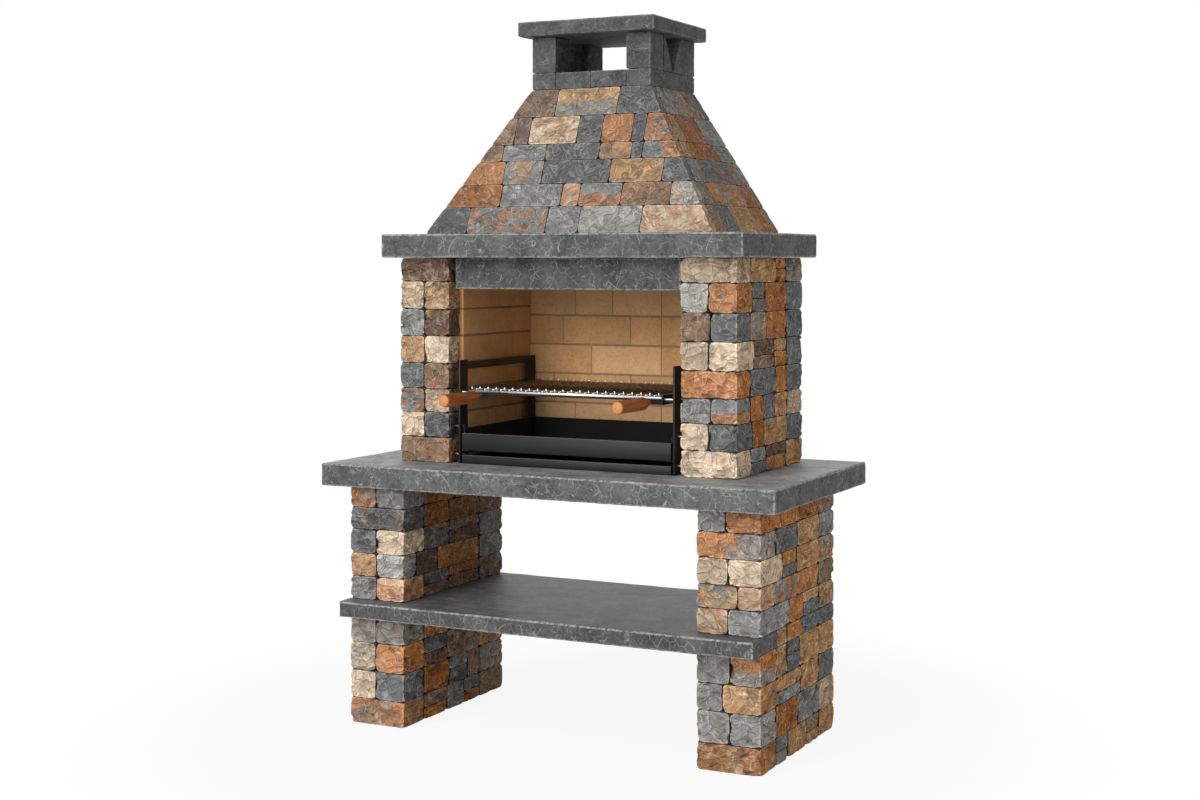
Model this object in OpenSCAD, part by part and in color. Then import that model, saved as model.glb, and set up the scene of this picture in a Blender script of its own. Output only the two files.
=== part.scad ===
// Masonry barbecue: stone-clad legs, slate slabs, firebrick hearth, hood and chimney
// Millimetres. Z up, cook stands on the -Y side. Origin at the middle of the footprint, on the ground.

/* [Worktop and shelf] */
// Worktop width, left to right
worktop_w = 1440; // [1340:10:1600]
// Worktop depth, front to back
worktop_d = 760; // [730:5:860]
// Worktop thickness
worktop_t = 67; // [50:1:90]
// Shelf thickness
shelf_t = 47; // [38:1:60]
// How far back the shelf keeps its full width, over the front corner stones
shelf_nose = 122; // [100:1:150]
// Edge bevel of the slate slabs
slab_edge = 5; // [2:0.5:8]

/* [Legs] */
// Width of each leg
leg_w = 187; // [170:1:210]
// Depth of each leg
leg_d = 590; // [560:5:620]
// Worktop overhang in front of the legs
leg_front = 62; // [40:1:75]
// Worktop overhang outside each leg
leg_side = 64; // [40:1:80]
// Leg height below the shelf
leg_low_h = 323; // [280:1:370]
// Leg height above the shelf
leg_high_h = 339; // [300:1:400]

/* [Stonework] */
// Rounding of the stone edges
stone_edge = 8; // [4:0.5:10]
// Dry joint between neighbouring stones of a course
joint = 0.6; // [0.4:0.1:1.5]
// Depth of the facing stones on legs and pillars
facing_t = 90; // [85:1:92]

/* [Firebox] */
// Worktop left showing outside each pillar
pillar_side = 174; // [140:2:190]
// Width of each pillar
pillar_w = 170; // [165:1:185]
// Depth of each pillar
pillar_d = 520; // [500:5:540]
// Pillar face behind the worktop's front edge
pillar_front = 164; // [150:1:175]
// Height from worktop to mantel
pillar_h = 610; // [580:5:680]
// Depth of the front stones beside the hearth mouth
mouth_t = 68; // [62:1:72]
// How far the firebrick stands proud of the pillar inside the hearth
brick_proud = 10; // [6:1:12]
// Thickness of the firebrick back wall
back_t = 32; // [28:1:40]
// Bevel of the firebrick edges
brick_edge = 2; // [1:0.5:3]
// Height of a firebrick row in the back wall
brick_h = 92; // [80:1:100]

/* [Mantel and lintel] */
// Mantel overhang outside each pillar
mantel_side = 38; // [20:1:60]
// Mantel slab depth
mantel_d = 593; // [585:1:640]
// Mantel's front edge ahead of the pillars
mantel_lip = 50; // [30:1:60]
// Mantel slab thickness
mantel_t = 71; // [55:1:90]
// Lintel height
lintel_h = 93; // [70:1:110]
// Lintel thickness
lintel_t = 52; // [40:1:53]
// Lintel set back behind the pillar faces
lintel_back = 14; // [10:1:15]
// Open gap at the left end of the lintel
lintel_gap = 13; // [6:1:20]
// Open gap at the right end of the lintel
lintel_gap_right = 5; // [3:1:20]
// Width of the flue hole in the mantel
throat_w = 580; // [480:10:620]
// Depth of the flue hole in the mantel
throat_d = 350; // [280:5:360]

/* [Hood] */
// Mantel left showing at each side of the hood
hood_side = 117; // [90:1:135]
// Hood depth at the mantel
hood_d = 528; // [515:1:545]
// Hood front edge behind the mantel's front edge
hood_set = 64; // [50:1:66]
// Hood height
hood_h = 434; // [380:2:500]
// Thickness of the hood's facing stones
clad_t = 40; // [34:1:44]
// Thickness of the cast shell behind them
shell_t = 30; // [24:1:34]
// Edge bevel of the hood stones
clad_edge = 5; // [3:0.5:7]

/* [Chimney] */
// Chimney width
stack_w = 394; // [370:2:420]
// Chimney depth
stack_d = 327; // [310:1:350]
// Chimney back face ahead of the hood's back foot
stack_set = 28; // [20:1:40]
// Height of the base course
stack_base_h = 51; // [40:1:65]
// Height of the corner posts
post_h = 108; // [80:1:140]
// Width of a corner post, across the front
post_w = 80; // [74:1:86]
// Depth of a corner post, along the side
post_d = 98; // [90:1:104]
// Cap slab overhang all round
cap_over = 29; // [20:1:40]
// Cap slab thickness
cap_t = 44; // [35:1:60]

/* [Steel frame] */
// Gap between each side frame and its pillar
frame_gap = 24; // [18:1:34]
// Bar thickness of the frame
bar_t = 6; // [5:0.5:8]
// Bar depth of the uprights
upright_d = 45; // [36:1:50]
// Height of the uprights
upright_h = 306; // [290:1:340]
// Height of the top side rail above the worktop, at its upper edge
top_rail_z = 300; // [285:1:304]
// Depth of the top side rail's bar
top_rail_h = 22; // [14:1:30]
// Height of the grill runners above the worktop
runner_z = 209; // [190:1:225]
// Width of the runners
runner_w = 24; // [22:1:28]
// Clearance between the frame and the back wall
frame_back = 7; // [3:1:20]
// Frame face behind the pillar faces
frame_set = 17; // [12:1:20]

/* [Trays] */
// Sheet thickness of the trays
sheet = 2.5; // [2:0.5:3]
// Height of the charcoal tray floor above the worktop
coal_z = 39; // [36:1:46]
// Height of the charcoal tray's walls
coal_h = 65; // [50:1:90]
// Height of the charcoal tray's front plate
coal_plate = 50; // [40:1:60]
// Height of the ash drawer's front plate
ash_plate = 24; // [20:1:28]
// Depth of the folded lip on both front plates
lip = 10; // [6:1:12]
// Side play of the trays between the uprights
tray_play = 6; // [4:0.5:8]

/* [Grill] */
// Wires in the grate
wires = 45; // [31:2:51]
// Wire diameter
wire_d = 4; // [3:0.5:5]
// Diameter of the front and back rails
rail_d = 9.5; // [7:0.5:10]
// Gap between a side plate of the grill and the uprights
plate_gap = 29; // [26:1:40]
// Back rail of the grate ahead of the frame's back face
grate_back = 25; // [20:1:60]
// Height of the side plates
plate_h = 28; // [26:1:34]
// How far the side plates rise above the rails
plate_rise = 4; // [0:0.5:6]
// Thickness of the side plates
plate_t = 4; // [3:0.5:5]
// Diameter of the support pins
pin_d = 5; // [4:0.5:6]
// Height of the strip under the front rail
strip_h = 4.5; // [4:0.5:8]
// How far each handle bracket runs past its handle at full height
bracket_past = 18; // [10:1:30]
// Length of each handle bracket's taper
bracket_taper = 55; // [30:5:80]

/* [Handles] */
// Handle diameter
handle_d = 37; // [30:1:42]
// Length of the straight turned part
handle_l = 165; // [120:5:190]
// Length of the tapered neck
neck_l = 51; // [30:1:60]
// Handle axis inside the side plate
handle_in = 38; // [24:1:90]

/* [Hidden] */
// Heights of the stone courses in the legs, ground upward, four below the shelf and five above
leg_rows_r = [75, 87, 75, 86, 70, 64, 72, 70, 63];
leg_rows_l = [76, 82, 84, 81, 69, 69, 71, 65, 65];
// Heights of the pillar courses, worktop upward
pillar_rows = [75, 75, 70, 76, 81, 80, 83, 70];
// Where the front of each course divides, as a share of its width from the inner edge; 0 is one long stone
leg_cut_r = [0, 0.52, 0.41, 0.52, 0.49, 0.64, 0.49, 0, 0.46];
leg_cut_l = [0, 0.52, 0.53, 0.52, 0.51, 0.51, 0.52, 0, 0.52];
pillar_cut_r = [0, 0.50, 0.54, 0, 0.50, 0.54, 0.50, 0];
pillar_cut_l = [0, 0.50, 0.50, 0.51, 0.50, 0.50, 0.51, 0];
// Side stones of each leg course: end of the corner stone, then [from, to, stacked], all in mm from the leg's face
leg_side_r = [
    [121, [121, 213, 2], [213, 358, 1], [358, 463, 2]],
    [121, [121, 293, 1], [293, 463, 1]],
    [128, [128, 316, 2], [316, 463, 1]],
    [123, [123, 206, 1], [206, 303, 2], [303, 465, 1]],
    [223, [223, 333, 1], [333, 468, 2]],
    [110, [110, 288, 1], [288, 460, 1]],
    [170, [170, 283, 2], [283, 458, 1]],
    [121, [121, 288, 1], [288, 468, 1]],
    [121, [121, 302, 1], [302, 468, 1]]
];
leg_side_l = [
    [118, [118, 250, 2], [250, 350, 1], [350, 445, 2]],
    [118, [118, 262, 1], [262, 372, 2], [372, 445, 1]],
    [118, [118, 250, 2], [250, 445, 1]],
    [118, [118, 262, 1], [262, 445, 1]],
    [118, [118, 262, 2], [262, 445, 2]],
    [76, [76, 196, 1], [196, 445, 1]],
    [118, [118, 262, 1], [262, 445, 2]],
    [118, [118, 262, 1], [262, 445, 1]],
    [118, [118, 300, 1], [300, 445, 1]]
];
// Thin side stones level with the shelf
fill_rows = [[146, 1], [206, 1], [318, 1], [463, 1]];
// Side stones of each pillar course
pillar_side_r = [
    [108, [108, 226, 2], [226, 386, 2]],
    [121, [121, 210, 1], [210, 390, 1]],
    [107, [107, 205, 1], [205, 293, 1], [293, 394, 1]],
    [108, [108, 303, 1], [303, 388, 1]],
    [133, [133, 290, 2], [290, 390, 2]],
    [106, [106, 229, 1], [229, 388, 1]],
    [121, [121, 218, 2], [218, 388, 1]],
    [111, [111, 303, 1], [303, 386, 2]]
];
pillar_side_l = [
    [108, [108, 250, 1], [250, 386, 2]],
    [121, [121, 300, 1], [300, 390, 1]],
    [107, [107, 190, 2], [190, 394, 1]],
    [115, [115, 240, 1], [240, 388, 1]],
    [133, [133, 262, 1], [262, 390, 2]],
    [106, [106, 200, 1], [200, 290, 1], [290, 388, 1]],
    [121, [121, 260, 2], [260, 388, 1]],
    [111, [111, 240, 1], [240, 386, 1]]
];
// Firebrick joints in the side linings, in mm from the pillar's face
lining_cuts = [[300], [220, 390], [312], [312], [212, 373], [212, 363], [295], [230, 400]];
// Firebrick joints in the back wall, in mm from the middle, bottom row first
back_cuts = [[-310, -100, 150], [-205, 95, 330], [-281, -9, 230], [-147, 95, 340], [-248, -11, 95, 300],
    [-205, -73, 95, 320], [-300, -100, 110, 310]];
// Hood rows from the mantel upward: share of the hood height, then joints across front and back from the middle,
// and along the sides from the hood's front foot
hood_rows = [79, 67, 70, 50, 84, 84];
hood_front = [[-326, -63, 44, 241], [-231, -29, 30, 165, 320], [-236, -106, 115, 284],
    [-254, -108, 69, 173, 208], [-225, -176, -14, 65, 164, 205], [-103, 101]];
hood_right = [[129, 227, 392], [165, 404], [190, 411], [197, 392], [213, 369], [252, 384]];
hood_left = [[152, 292, 412], [142, 272], [232, 382], [192, 342], [272], [262, 372]];
hood_back = [[-300, -120, 90, 280], [-250, -60, 140, 270], [-280, -90, 60, 210], [-200, -40, 120, 230],
    [-210, -90, 60, 190], [-130, 40]];

// Levels
shelf_z = leg_low_h;
leg2_z = shelf_z + shelf_t;
worktop_z = leg2_z + leg_high_h;
top_z = worktop_z + worktop_t;
mantel_z = top_z + pillar_h;
hood_z = mantel_z + mantel_t;
stack_z = hood_z + hood_h;
post_z = stack_z + stack_base_h;
cap_z = post_z + post_h;

// Plan positions, with y counted from the worktop's front edge
leg_x1 = worktop_w / 2 - leg_side;
leg_x0 = leg_x1 - leg_w;
leg_y0 = leg_front;
leg_y1 = leg_front + leg_d;
pillar_x1 = worktop_w / 2 - pillar_side;
pillar_x0 = pillar_x1 - pillar_w;
pillar_y0 = pillar_front;
pillar_y1 = pillar_front + pillar_d;
face_x = pillar_x1 - facing_t;
brick_x = pillar_x0 - brick_proud;
brick_y0 = pillar_y0 + mouth_t;
back_y = pillar_y1 - back_t;
mantel_w = 2 * (pillar_x1 + mantel_side);
hood_w = mantel_w - 2 * hood_side;
mantel_y0 = pillar_y0 - mantel_lip;
mantel_y1 = mantel_y0 + mantel_d;
hood_y0 = mantel_y0 + hood_set;
hood_y1 = hood_y0 + hood_d;
stack_y1 = hood_y1 - stack_set;
stack_y0 = stack_y1 - stack_d;
lintel_y0 = pillar_y0 + lintel_back;
throat_y1 = back_y - 32;
throat_y0 = throat_y1 - throat_d;

// Steelwork positions
frame_x1 = pillar_x0 - frame_gap;
frame_x0 = frame_x1 - bar_t;
frame_y0 = pillar_y0 + frame_set;
frame_y1 = back_y - frame_back;
seat = 0.3;
tray_x = frame_x0 - tray_play;
coal_rail_z = top_z + coal_z - seat;
plate_x1 = frame_x0 - plate_gap;
grate_x = plate_x1 - plate_t;
grate_w = 2 * grate_x;
run_z = top_z + runner_z;
pin_z = run_z + seat + pin_d / 2;
rail_z = pin_z + 4;
grate_y0 = frame_y0 - 1;
grate_d = frame_y1 - grate_back - grate_y0;
plate_z = rail_z + rail_d / 2 + plate_rise - plate_h;
bar_y = grate_y0 + 6;
handle_z = rail_z - rail_d / 2 - 9;
handle_y0 = bar_y - neck_l - handle_l;

// The footprint's middle, from the handle ends to the worktop's back edge
mid_y = (min(0, handle_y0) + worktop_d) / 2;

// Course levels that always fill the height they stand in
function sum(v, n) = n <= 0 ? 0 : v[n - 1] + sum(v, n - 1);
function low(v, i) = sum(v, i) / sum(v, 4) * leg_low_h;
function high(v, i) = leg2_z + (sum(v, i) - sum(v, 4)) / (sum(v, 9) - sum(v, 4)) * leg_high_h;
function leg_z(v, i, top) = top ? (i < 4 ? low(v, i + 1) : high(v, i + 1)) : (i < 4 ? low(v, i) : high(v, i));
function pillar_z(i) = top_z + sum(pillar_rows, i) / sum(pillar_rows, 8) * pillar_h;
function hood_row_z(i) = hood_z + sum(hood_rows, i) / sum(hood_rows, 6) * hood_h;

// Rectangle with its four corners cut off
module octo(a0, a1, b0, b1, c) {
    polygon([[a0 + c, b0], [a1 - c, b0], [a1, b0 + c], [a1, b1 - c], [a1 - c, b1], [a0 + c, b1], [a0, b1 - c],
        [a0, b0 + c]]);
}
// Stretches an outline drawn in X and Z from y0 to y1
module along_y(y0, y1) {
    translate([0, y1, 0])
        rotate([90, 0, 0])
        linear_extrude(y1 - y0)
        children();
}
// Stretches an outline drawn in Y and Z from x0 to x1
module along_x(x0, x1) {
    translate([x0, 0, 0])
        rotate([90, 0, 90])
        linear_extrude(x1 - x0)
        children();
}
module along_z(z0, z1) {
    translate([0, 0, z0])
        linear_extrude(z1 - z0)
        children();
}
// Squared block with every edge bevelled; side turns it to the left or right half
module block(side, x0, x1, y0, y1, z0, z1, c) {
    a = min(side * x0, side * x1);
    b = max(side * x0, side * x1);
    intersection() {
        along_y(y0, y1) octo(a, b, z0, z1, c);
        along_x(a, b) octo(y0, y1, z0, z1, c);
        along_z(z0, z1) octo(a, b, y0, y1, c);
    }
}
module plain(x0, x1, y0, y1, z0, z1) {
    translate([x0, y0, z0])
        cube([x1 - x0, y1 - y0, z1 - z0]);
}
// Moves everything from the worktop's front edge to the middle of the footprint
module place() {
    translate([0, -mid_y, 0])
        children();
}

// Long corner stone of a pillar, turning round behind the hearth mouth
module long_corner(side, x0, xi, x1, y0, ym, yr, z0, z1) {
    c = stone_edge;
    a = min(side * x0, side * x1);
    b = max(side * x0, side * x1);
    intersection() {
        along_y(y0, yr) octo(a, b, z0, z1, c);
        along_x(a, b) octo(y0, yr, z0, z1, c);
        along_z(z0, z1)
            polygon([[side * (x0 + c), y0], [side * (x1 - c), y0], [side * x1, y0 + c], [side * x1, yr - c],
                [side * (x1 - c), yr], [side * xi, yr], [side * xi, ym], [side * (x0 + c), ym],
                [side * x0, ym - c], [side * x0, y0 + c]]);
    }
}
// Stones standing side by side or stacked in twos along a side face
module side_stones(side, x0, x1, y0, scale_y, row, z0, z1) {
    for (i = [1 : len(row) - 1]) {
        s = row[i];
        ya = y0 + s[0] * scale_y + joint / 2;
        yb = y0 + s[1] * scale_y - joint / 2;
        zm = (z0 + z1) / 2 + (i % 2 == 0 ? 4 : -3);
        if (s[2] == 1) block(side, x0, x1, ya, yb, z0, z1, stone_edge);
        if (s[2] == 2) {
            block(side, x0, x1, ya, yb, z0, zm - 0.1, stone_edge * 0.7);
            block(side, x0, x1, ya, yb, zm + 0.1, z1, stone_edge * 0.7);
        }
    }
}
module leg_course(side, i) {
    rows = side > 0 ? leg_rows_r : leg_rows_l;
    cut = side > 0 ? leg_cut_r[i] : leg_cut_l[i];
    row = side > 0 ? leg_side_r[i] : leg_side_l[i];
    ky = leg_d / 590;
    z0 = leg_z(rows, i, false);
    z1 = leg_z(rows, i, true);
    ret = leg_y0 + row[0] * ky - joint / 2;
    last = leg_y0 + row[len(row) - 1][1] * ky + joint / 2;
    xm = leg_x0 + cut * leg_w;
    place() {
        if (cut == 0) block(side, leg_x0, leg_x1, leg_y0, ret, z0, z1, stone_edge);
        if (cut > 0) {
            block(side, leg_x0, xm - joint / 2, leg_y0, ret, z0, z1, stone_edge);
            block(side, xm + joint / 2, leg_x1, leg_y0, ret, z0, z1, stone_edge);
        }
        side_stones(side, leg_x0, leg_x1, leg_y0, ky, row, z0, z1);
        block(side, leg_x0, leg_x0 + leg_w / 2 - joint / 2, last, leg_y1, z0, z1, stone_edge);
        block(side, leg_x0 + leg_w / 2 + joint / 2, leg_x1, last, leg_y1, z0, z1, stone_edge);
        if (i == 4) {
            for (k = [0 : 3]) {
                fa = k == 0 ? shelf_nose : fill_rows[k][0];
                fb = k == 3 ? 590 : fill_rows[k + 1][0];
                block(side, leg_x1 - facing_t, leg_x1, leg_y0 + fa * ky + joint / 2,
                    leg_y0 + fb * ky - joint / 2, shelf_z, leg2_z - 0.2, stone_edge * 0.7);
            }
        }
    }
}
module pillar_course(side, i) {
    cut = side > 0 ? pillar_cut_r[i] : pillar_cut_l[i];
    row = side > 0 ? pillar_side_r[i] : pillar_side_l[i];
    ky = pillar_d / 520;
    z0 = pillar_z(i);
    z1 = pillar_z(i + 1);
    ret = pillar_y0 + row[0] * ky - joint / 2;
    last = pillar_y0 + row[len(row) - 1][1] * ky + joint / 2;
    xm = max(pillar_x0 + cut * pillar_w, face_x);
    place() {
        if (cut == 0)
            long_corner(side, pillar_x0, face_x, pillar_x1, pillar_y0, brick_y0, ret, z0, z1);
        if (cut > 0) {
            block(side, pillar_x0, xm - joint / 2, pillar_y0, brick_y0, z0, z1, stone_edge);
            block(side, xm + joint / 2, pillar_x1, pillar_y0, ret, z0, z1, stone_edge);
        }
        side_stones(side, face_x, pillar_x1, pillar_y0, ky, row, z0, z1);
        block(side, face_x, pillar_x1, last, pillar_y1, z0, z1, stone_edge);
    }
}
// Firebrick lining of one pillar, coursed with the stones
module lining(side) {
    ky = pillar_d / 520;
    place()
        for (i = [0 : 7]) {
            cuts = lining_cuts[i];
            for (k = [0 : len(cuts)]) {
                ya = k == 0 ? brick_y0 : pillar_y0 + cuts[k - 1] * ky + joint / 2;
                yb = k == len(cuts) ? back_y : pillar_y0 + cuts[k] * ky - joint / 2;
                block(side, brick_x, face_x, ya, yb, pillar_z(i), pillar_z(i + 1), brick_edge);
            }
        }
}
// Slanted faces of the hood: half width, front and back at a height
function hx(z, t) = hood_w / 2 - t + (z - hood_z) / hood_h * (stack_w - hood_w) / 2;
function hf(z, t) = hood_y0 + t + (z - hood_z) / hood_h * (stack_y0 - hood_y0);
function hb(z, t) = hood_y1 - t + (z - hood_z) / hood_h * (stack_y1 - hood_y1);
function ends(v, z, t) = abs(v) > 2000 ? sign(v) * hx(z, t) : v * hood_w / 934;
function fore(v, z, t) = v < -2000 ? hf(z, t) : v > 2000 ? hb(z, t) : hood_y0 + v * hood_d / 528;
// Outline of one hood stone between two joints, with small corner cuts
module panel_xz(a, b, z0, z1, g) {
    c = clad_edge;
    polygon([[ends(a, z0, 0) + g + c, z0], [ends(b, z0, 0) - g - c, z0], [ends(b, z0 + c, 0) - g, z0 + c],
        [ends(b, z1 - c, 0) - g, z1 - c], [ends(b, z1, 0) - g - c, z1], [ends(a, z1, 0) + g + c, z1],
        [ends(a, z1 - c, 0) + g, z1 - c], [ends(a, z0 + c, 0) + g, z0 + c]]);
}
module panel_yz(a, b, z0, z1, g) {
    c = clad_edge;
    polygon([[fore(a, z0, clad_t) + g + c, z0], [fore(b, z0, clad_t) - g - c, z0],
        [fore(b, z0 + c, clad_t) - g, z0 + c], [fore(b, z1 - c, clad_t) - g, z1 - c],
        [fore(b, z1, clad_t) - g - c, z1], [fore(a, z1, clad_t) + g + c, z1],
        [fore(a, z1 - c, clad_t) + g, z1 - c], [fore(a, z0 + c, clad_t) + g, z0 + c]]);
}
module hood_face(front, cuts, z0, z1) {
    c = clad_edge;
    all = concat([-9999], cuts, [9999]);
    for (k = [0 : len(all) - 2])
        intersection() {
            along_y(hood_y0 - 1, hood_y1 + 1) panel_xz(all[k], all[k + 1], z0, z1, abs(all[k]) > 2000 ? 0 : joint / 2);
            along_x(-hood_w / 2, hood_w / 2)
                polygon(front
                    ? [[hf(z0, c), z0], [hf(z0 + c, 0), z0 + c], [hf(z1 - c, 0), z1 - c], [hf(z1, c), z1],
                        [hf(z1, clad_t), z1], [hf(z0, clad_t), z0]]
                    : [[hb(z0, c), z0], [hb(z0 + c, 0), z0 + c], [hb(z1 - c, 0), z1 - c], [hb(z1, c), z1],
                        [hb(z1, clad_t), z1], [hb(z0, clad_t), z0]]);
        }
}
module hood_side(side, cuts, z0, z1) {
    c = clad_edge;
    all = concat([-9999], cuts, [9999]);
    for (k = [0 : len(all) - 2])
        intersection() {
            along_x(-hood_w / 2 - 1, hood_w / 2 + 1) panel_yz(all[k], all[k + 1], z0, z1, joint / 2);
            along_y(hood_y0, hood_y1)
                polygon([[side * hx(z0, c), z0], [side * hx(z0 + c, 0), z0 + c], [side * hx(z1 - c, 0), z1 - c],
                    [side * hx(z1, c), z1], [side * hx(z1, clad_t), z1], [side * hx(z0, clad_t), z0]]);
        }
}
module hood_course(i) {
    z0 = hood_row_z(i);
    z1 = hood_row_z(i + 1);
    place() {
        hood_face(true, hood_front[i], z0, z1);
        hood_face(false, hood_back[i], z0, z1);
        hood_side(1, hood_right[i], z0, z1);
        hood_side(-1, hood_left[i], z0, z1);
    }
}
// Hood-shaped solid, drawn in by t and running from z0 to z1
module hood_core(t, z0, z1) {
    intersection() {
        along_y(hood_y0, hood_y1)
            polygon([[-hx(z0, t), z0], [hx(z0, t), z0], [hx(z1, t), z1], [-hx(z1, t), z1]]);
        along_x(-hood_w / 2, hood_w / 2)
            polygon([[hf(z0, t), z0], [hb(z0, t), z0], [hb(z1, t), z1], [hf(z1, t), z1]]);
    }
}

// Legs: nine courses each, bottom first
module left_leg_course_1() { color([0.55, 0.42, 0.33]) leg_course(-1, 0); }
module left_leg_course_2() { color([0.55, 0.50, 0.44]) leg_course(-1, 1); }
module left_leg_course_3() { color([0.50, 0.45, 0.40]) leg_course(-1, 2); }
module left_leg_course_4() { color([0.47, 0.45, 0.43]) leg_course(-1, 3); }
module left_leg_course_5() { color([0.50, 0.44, 0.40]) leg_course(-1, 4); }
module left_leg_course_6() { color([0.56, 0.50, 0.45]) leg_course(-1, 5); }
module left_leg_course_7() { color([0.58, 0.54, 0.49]) leg_course(-1, 6); }
module left_leg_course_8() { color([0.38, 0.37, 0.37]) leg_course(-1, 7); }
module left_leg_course_9() { color([0.50, 0.44, 0.40]) leg_course(-1, 8); }
module right_leg_course_1() { color([0.58, 0.40, 0.28]) leg_course(1, 0); }
module right_leg_course_2() { color([0.48, 0.48, 0.48]) leg_course(1, 1); }
module right_leg_course_3() { color([0.62, 0.50, 0.38]) leg_course(1, 2); }
module right_leg_course_4() { color([0.52, 0.48, 0.44]) leg_course(1, 3); }
module right_leg_course_5() { color([0.54, 0.50, 0.46]) leg_course(1, 4); }
module right_leg_course_6() { color([0.66, 0.52, 0.42]) leg_course(1, 5); }
module right_leg_course_7() { color([0.74, 0.66, 0.56]) leg_course(1, 6); }
module right_leg_course_8() { color([0.60, 0.40, 0.28]) leg_course(1, 7); }
module right_leg_course_9() { color([0.60, 0.44, 0.32]) leg_course(1, 8); }

// Shelf slab: full width over the front corner stones, let into the legs behind them
module shelf_slab() {
    xe = leg_x1 - facing_t;
    yn = leg_y0 + shelf_nose * leg_d / 590;
    c = slab_edge;
    color([0.36, 0.37, 0.38])
        place()
        intersection() {
            along_z(shelf_z, leg2_z)
                polygon([[-leg_x1 - 1 + c, 1], [leg_x1 + 1 - c, 1], [leg_x1 + 1, 1 + c], [leg_x1 + 1, yn], [xe, yn],
                    [xe, leg_y1 - 2], [-xe, leg_y1 - 2], [-xe, yn], [-leg_x1 - 1, yn], [-leg_x1 - 1, 1 + c]]);
            along_x(-leg_x1 - 1, leg_x1 + 1) octo(1, leg_y1 + 10, shelf_z, leg2_z, c);
        }
}
// Worktop: one slate-like slab laid on both legs
module worktop_slab() {
    color([0.37, 0.38, 0.39])
        place()
        block(1, -worktop_w / 2, worktop_w / 2, 0, worktop_d, worktop_z, top_z, slab_edge);
}

// Pillars: eight courses each, bottom first
module left_pillar_course_1() { color([0.55, 0.44, 0.38]) pillar_course(-1, 0); }
module left_pillar_course_2() { color([0.62, 0.57, 0.50]) pillar_course(-1, 1); }
module left_pillar_course_3() { color([0.56, 0.51, 0.45]) pillar_course(-1, 2); }
module left_pillar_course_4() { color([0.46, 0.42, 0.39]) pillar_course(-1, 3); }
module left_pillar_course_5() { color([0.70, 0.58, 0.46]) pillar_course(-1, 4); }
module left_pillar_course_6() { color([0.50, 0.44, 0.40]) pillar_course(-1, 5); }
module left_pillar_course_7() { color([0.72, 0.62, 0.50]) pillar_course(-1, 6); }
module left_pillar_course_8() { color([0.42, 0.39, 0.37]) pillar_course(-1, 7); }
module right_pillar_course_1() { color([0.74, 0.65, 0.54]) pillar_course(1, 0); }
module right_pillar_course_2() { color([0.62, 0.58, 0.52]) pillar_course(1, 1); }
module right_pillar_course_3() { color([0.52, 0.46, 0.41]) pillar_course(1, 2); }
module right_pillar_course_4() { color([0.68, 0.46, 0.32]) pillar_course(1, 3); }
module right_pillar_course_5() { color([0.76, 0.69, 0.60]) pillar_course(1, 4); }
module right_pillar_course_6() { color([0.48, 0.44, 0.41]) pillar_course(1, 5); }
module right_pillar_course_7() { color([0.62, 0.46, 0.36]) pillar_course(1, 6); }
module right_pillar_course_8() { color([0.62, 0.59, 0.55]) pillar_course(1, 7); }

// Firebrick linings and back wall of the hearth
module left_lining() { color([0.66, 0.50, 0.36]) lining(-1); }
module right_lining() { color([0.66, 0.50, 0.36]) lining(1); }
module back_wall() {
    rows = len(back_cuts);
    z_first = mantel_z - 90 - (rows - 2) * brick_h;
    kx = pillar_x0 / 376;
    color([0.70, 0.54, 0.40])
        place()
        for (i = [0 : rows - 1]) {
            z0 = i == 0 ? top_z : z_first + (i - 1) * brick_h;
            z1 = i == rows - 1 ? mantel_z : z_first + i * brick_h;
            all = concat([-face_x], back_cuts[i], [face_x]);
            for (k = [0 : len(all) - 2])
                block(1, k == 0 ? all[k] : all[k] * kx + joint / 2,
                    k == len(all) - 2 ? all[k + 1] : all[k + 1] * kx - joint / 2,
                    back_y, pillar_y1, z0, z1, brick_edge);
        }
}
// Lintel: hangs from the mantel behind the pillar faces, open at both ends
module lintel() {
    color([0.36, 0.37, 0.38])
        place()
        block(1, -pillar_x0 + lintel_gap, pillar_x0 - lintel_gap_right, lintel_y0, lintel_y0 + lintel_t,
            mantel_z - lintel_h, mantel_z, slab_edge);
}
// Mantel: slab over pillars and hearth, with the flue hole through it
module mantel_slab() {
    color([0.36, 0.37, 0.38])
        place()
        difference() {
            block(1, -mantel_w / 2, mantel_w / 2, mantel_y0, mantel_y1, mantel_z, hood_z, slab_edge);
            plain(-throat_w / 2, throat_w / 2, throat_y0, throat_y1, mantel_z - 5, hood_z + 5);
        }
}

// Hood: cast shell with six rows of facing stones
module hood_shell() {
    color([0.45, 0.44, 0.43])
        place()
        difference() {
            hood_core(clad_t, hood_z, stack_z);
            hood_core(clad_t + shell_t, hood_z - 5, stack_z + 5);
        }
}
module hood_course_1() { color([0.58, 0.52, 0.47]) hood_course(0); }
module hood_course_2() { color([0.52, 0.45, 0.40]) hood_course(1); }
module hood_course_3() { color([0.48, 0.44, 0.41]) hood_course(2); }
module hood_course_4() { color([0.50, 0.46, 0.42]) hood_course(3); }
module hood_course_5() { color([0.58, 0.50, 0.43]) hood_course(4); }
module hood_course_6() { color([0.46, 0.43, 0.41]) hood_course(5); }

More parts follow.
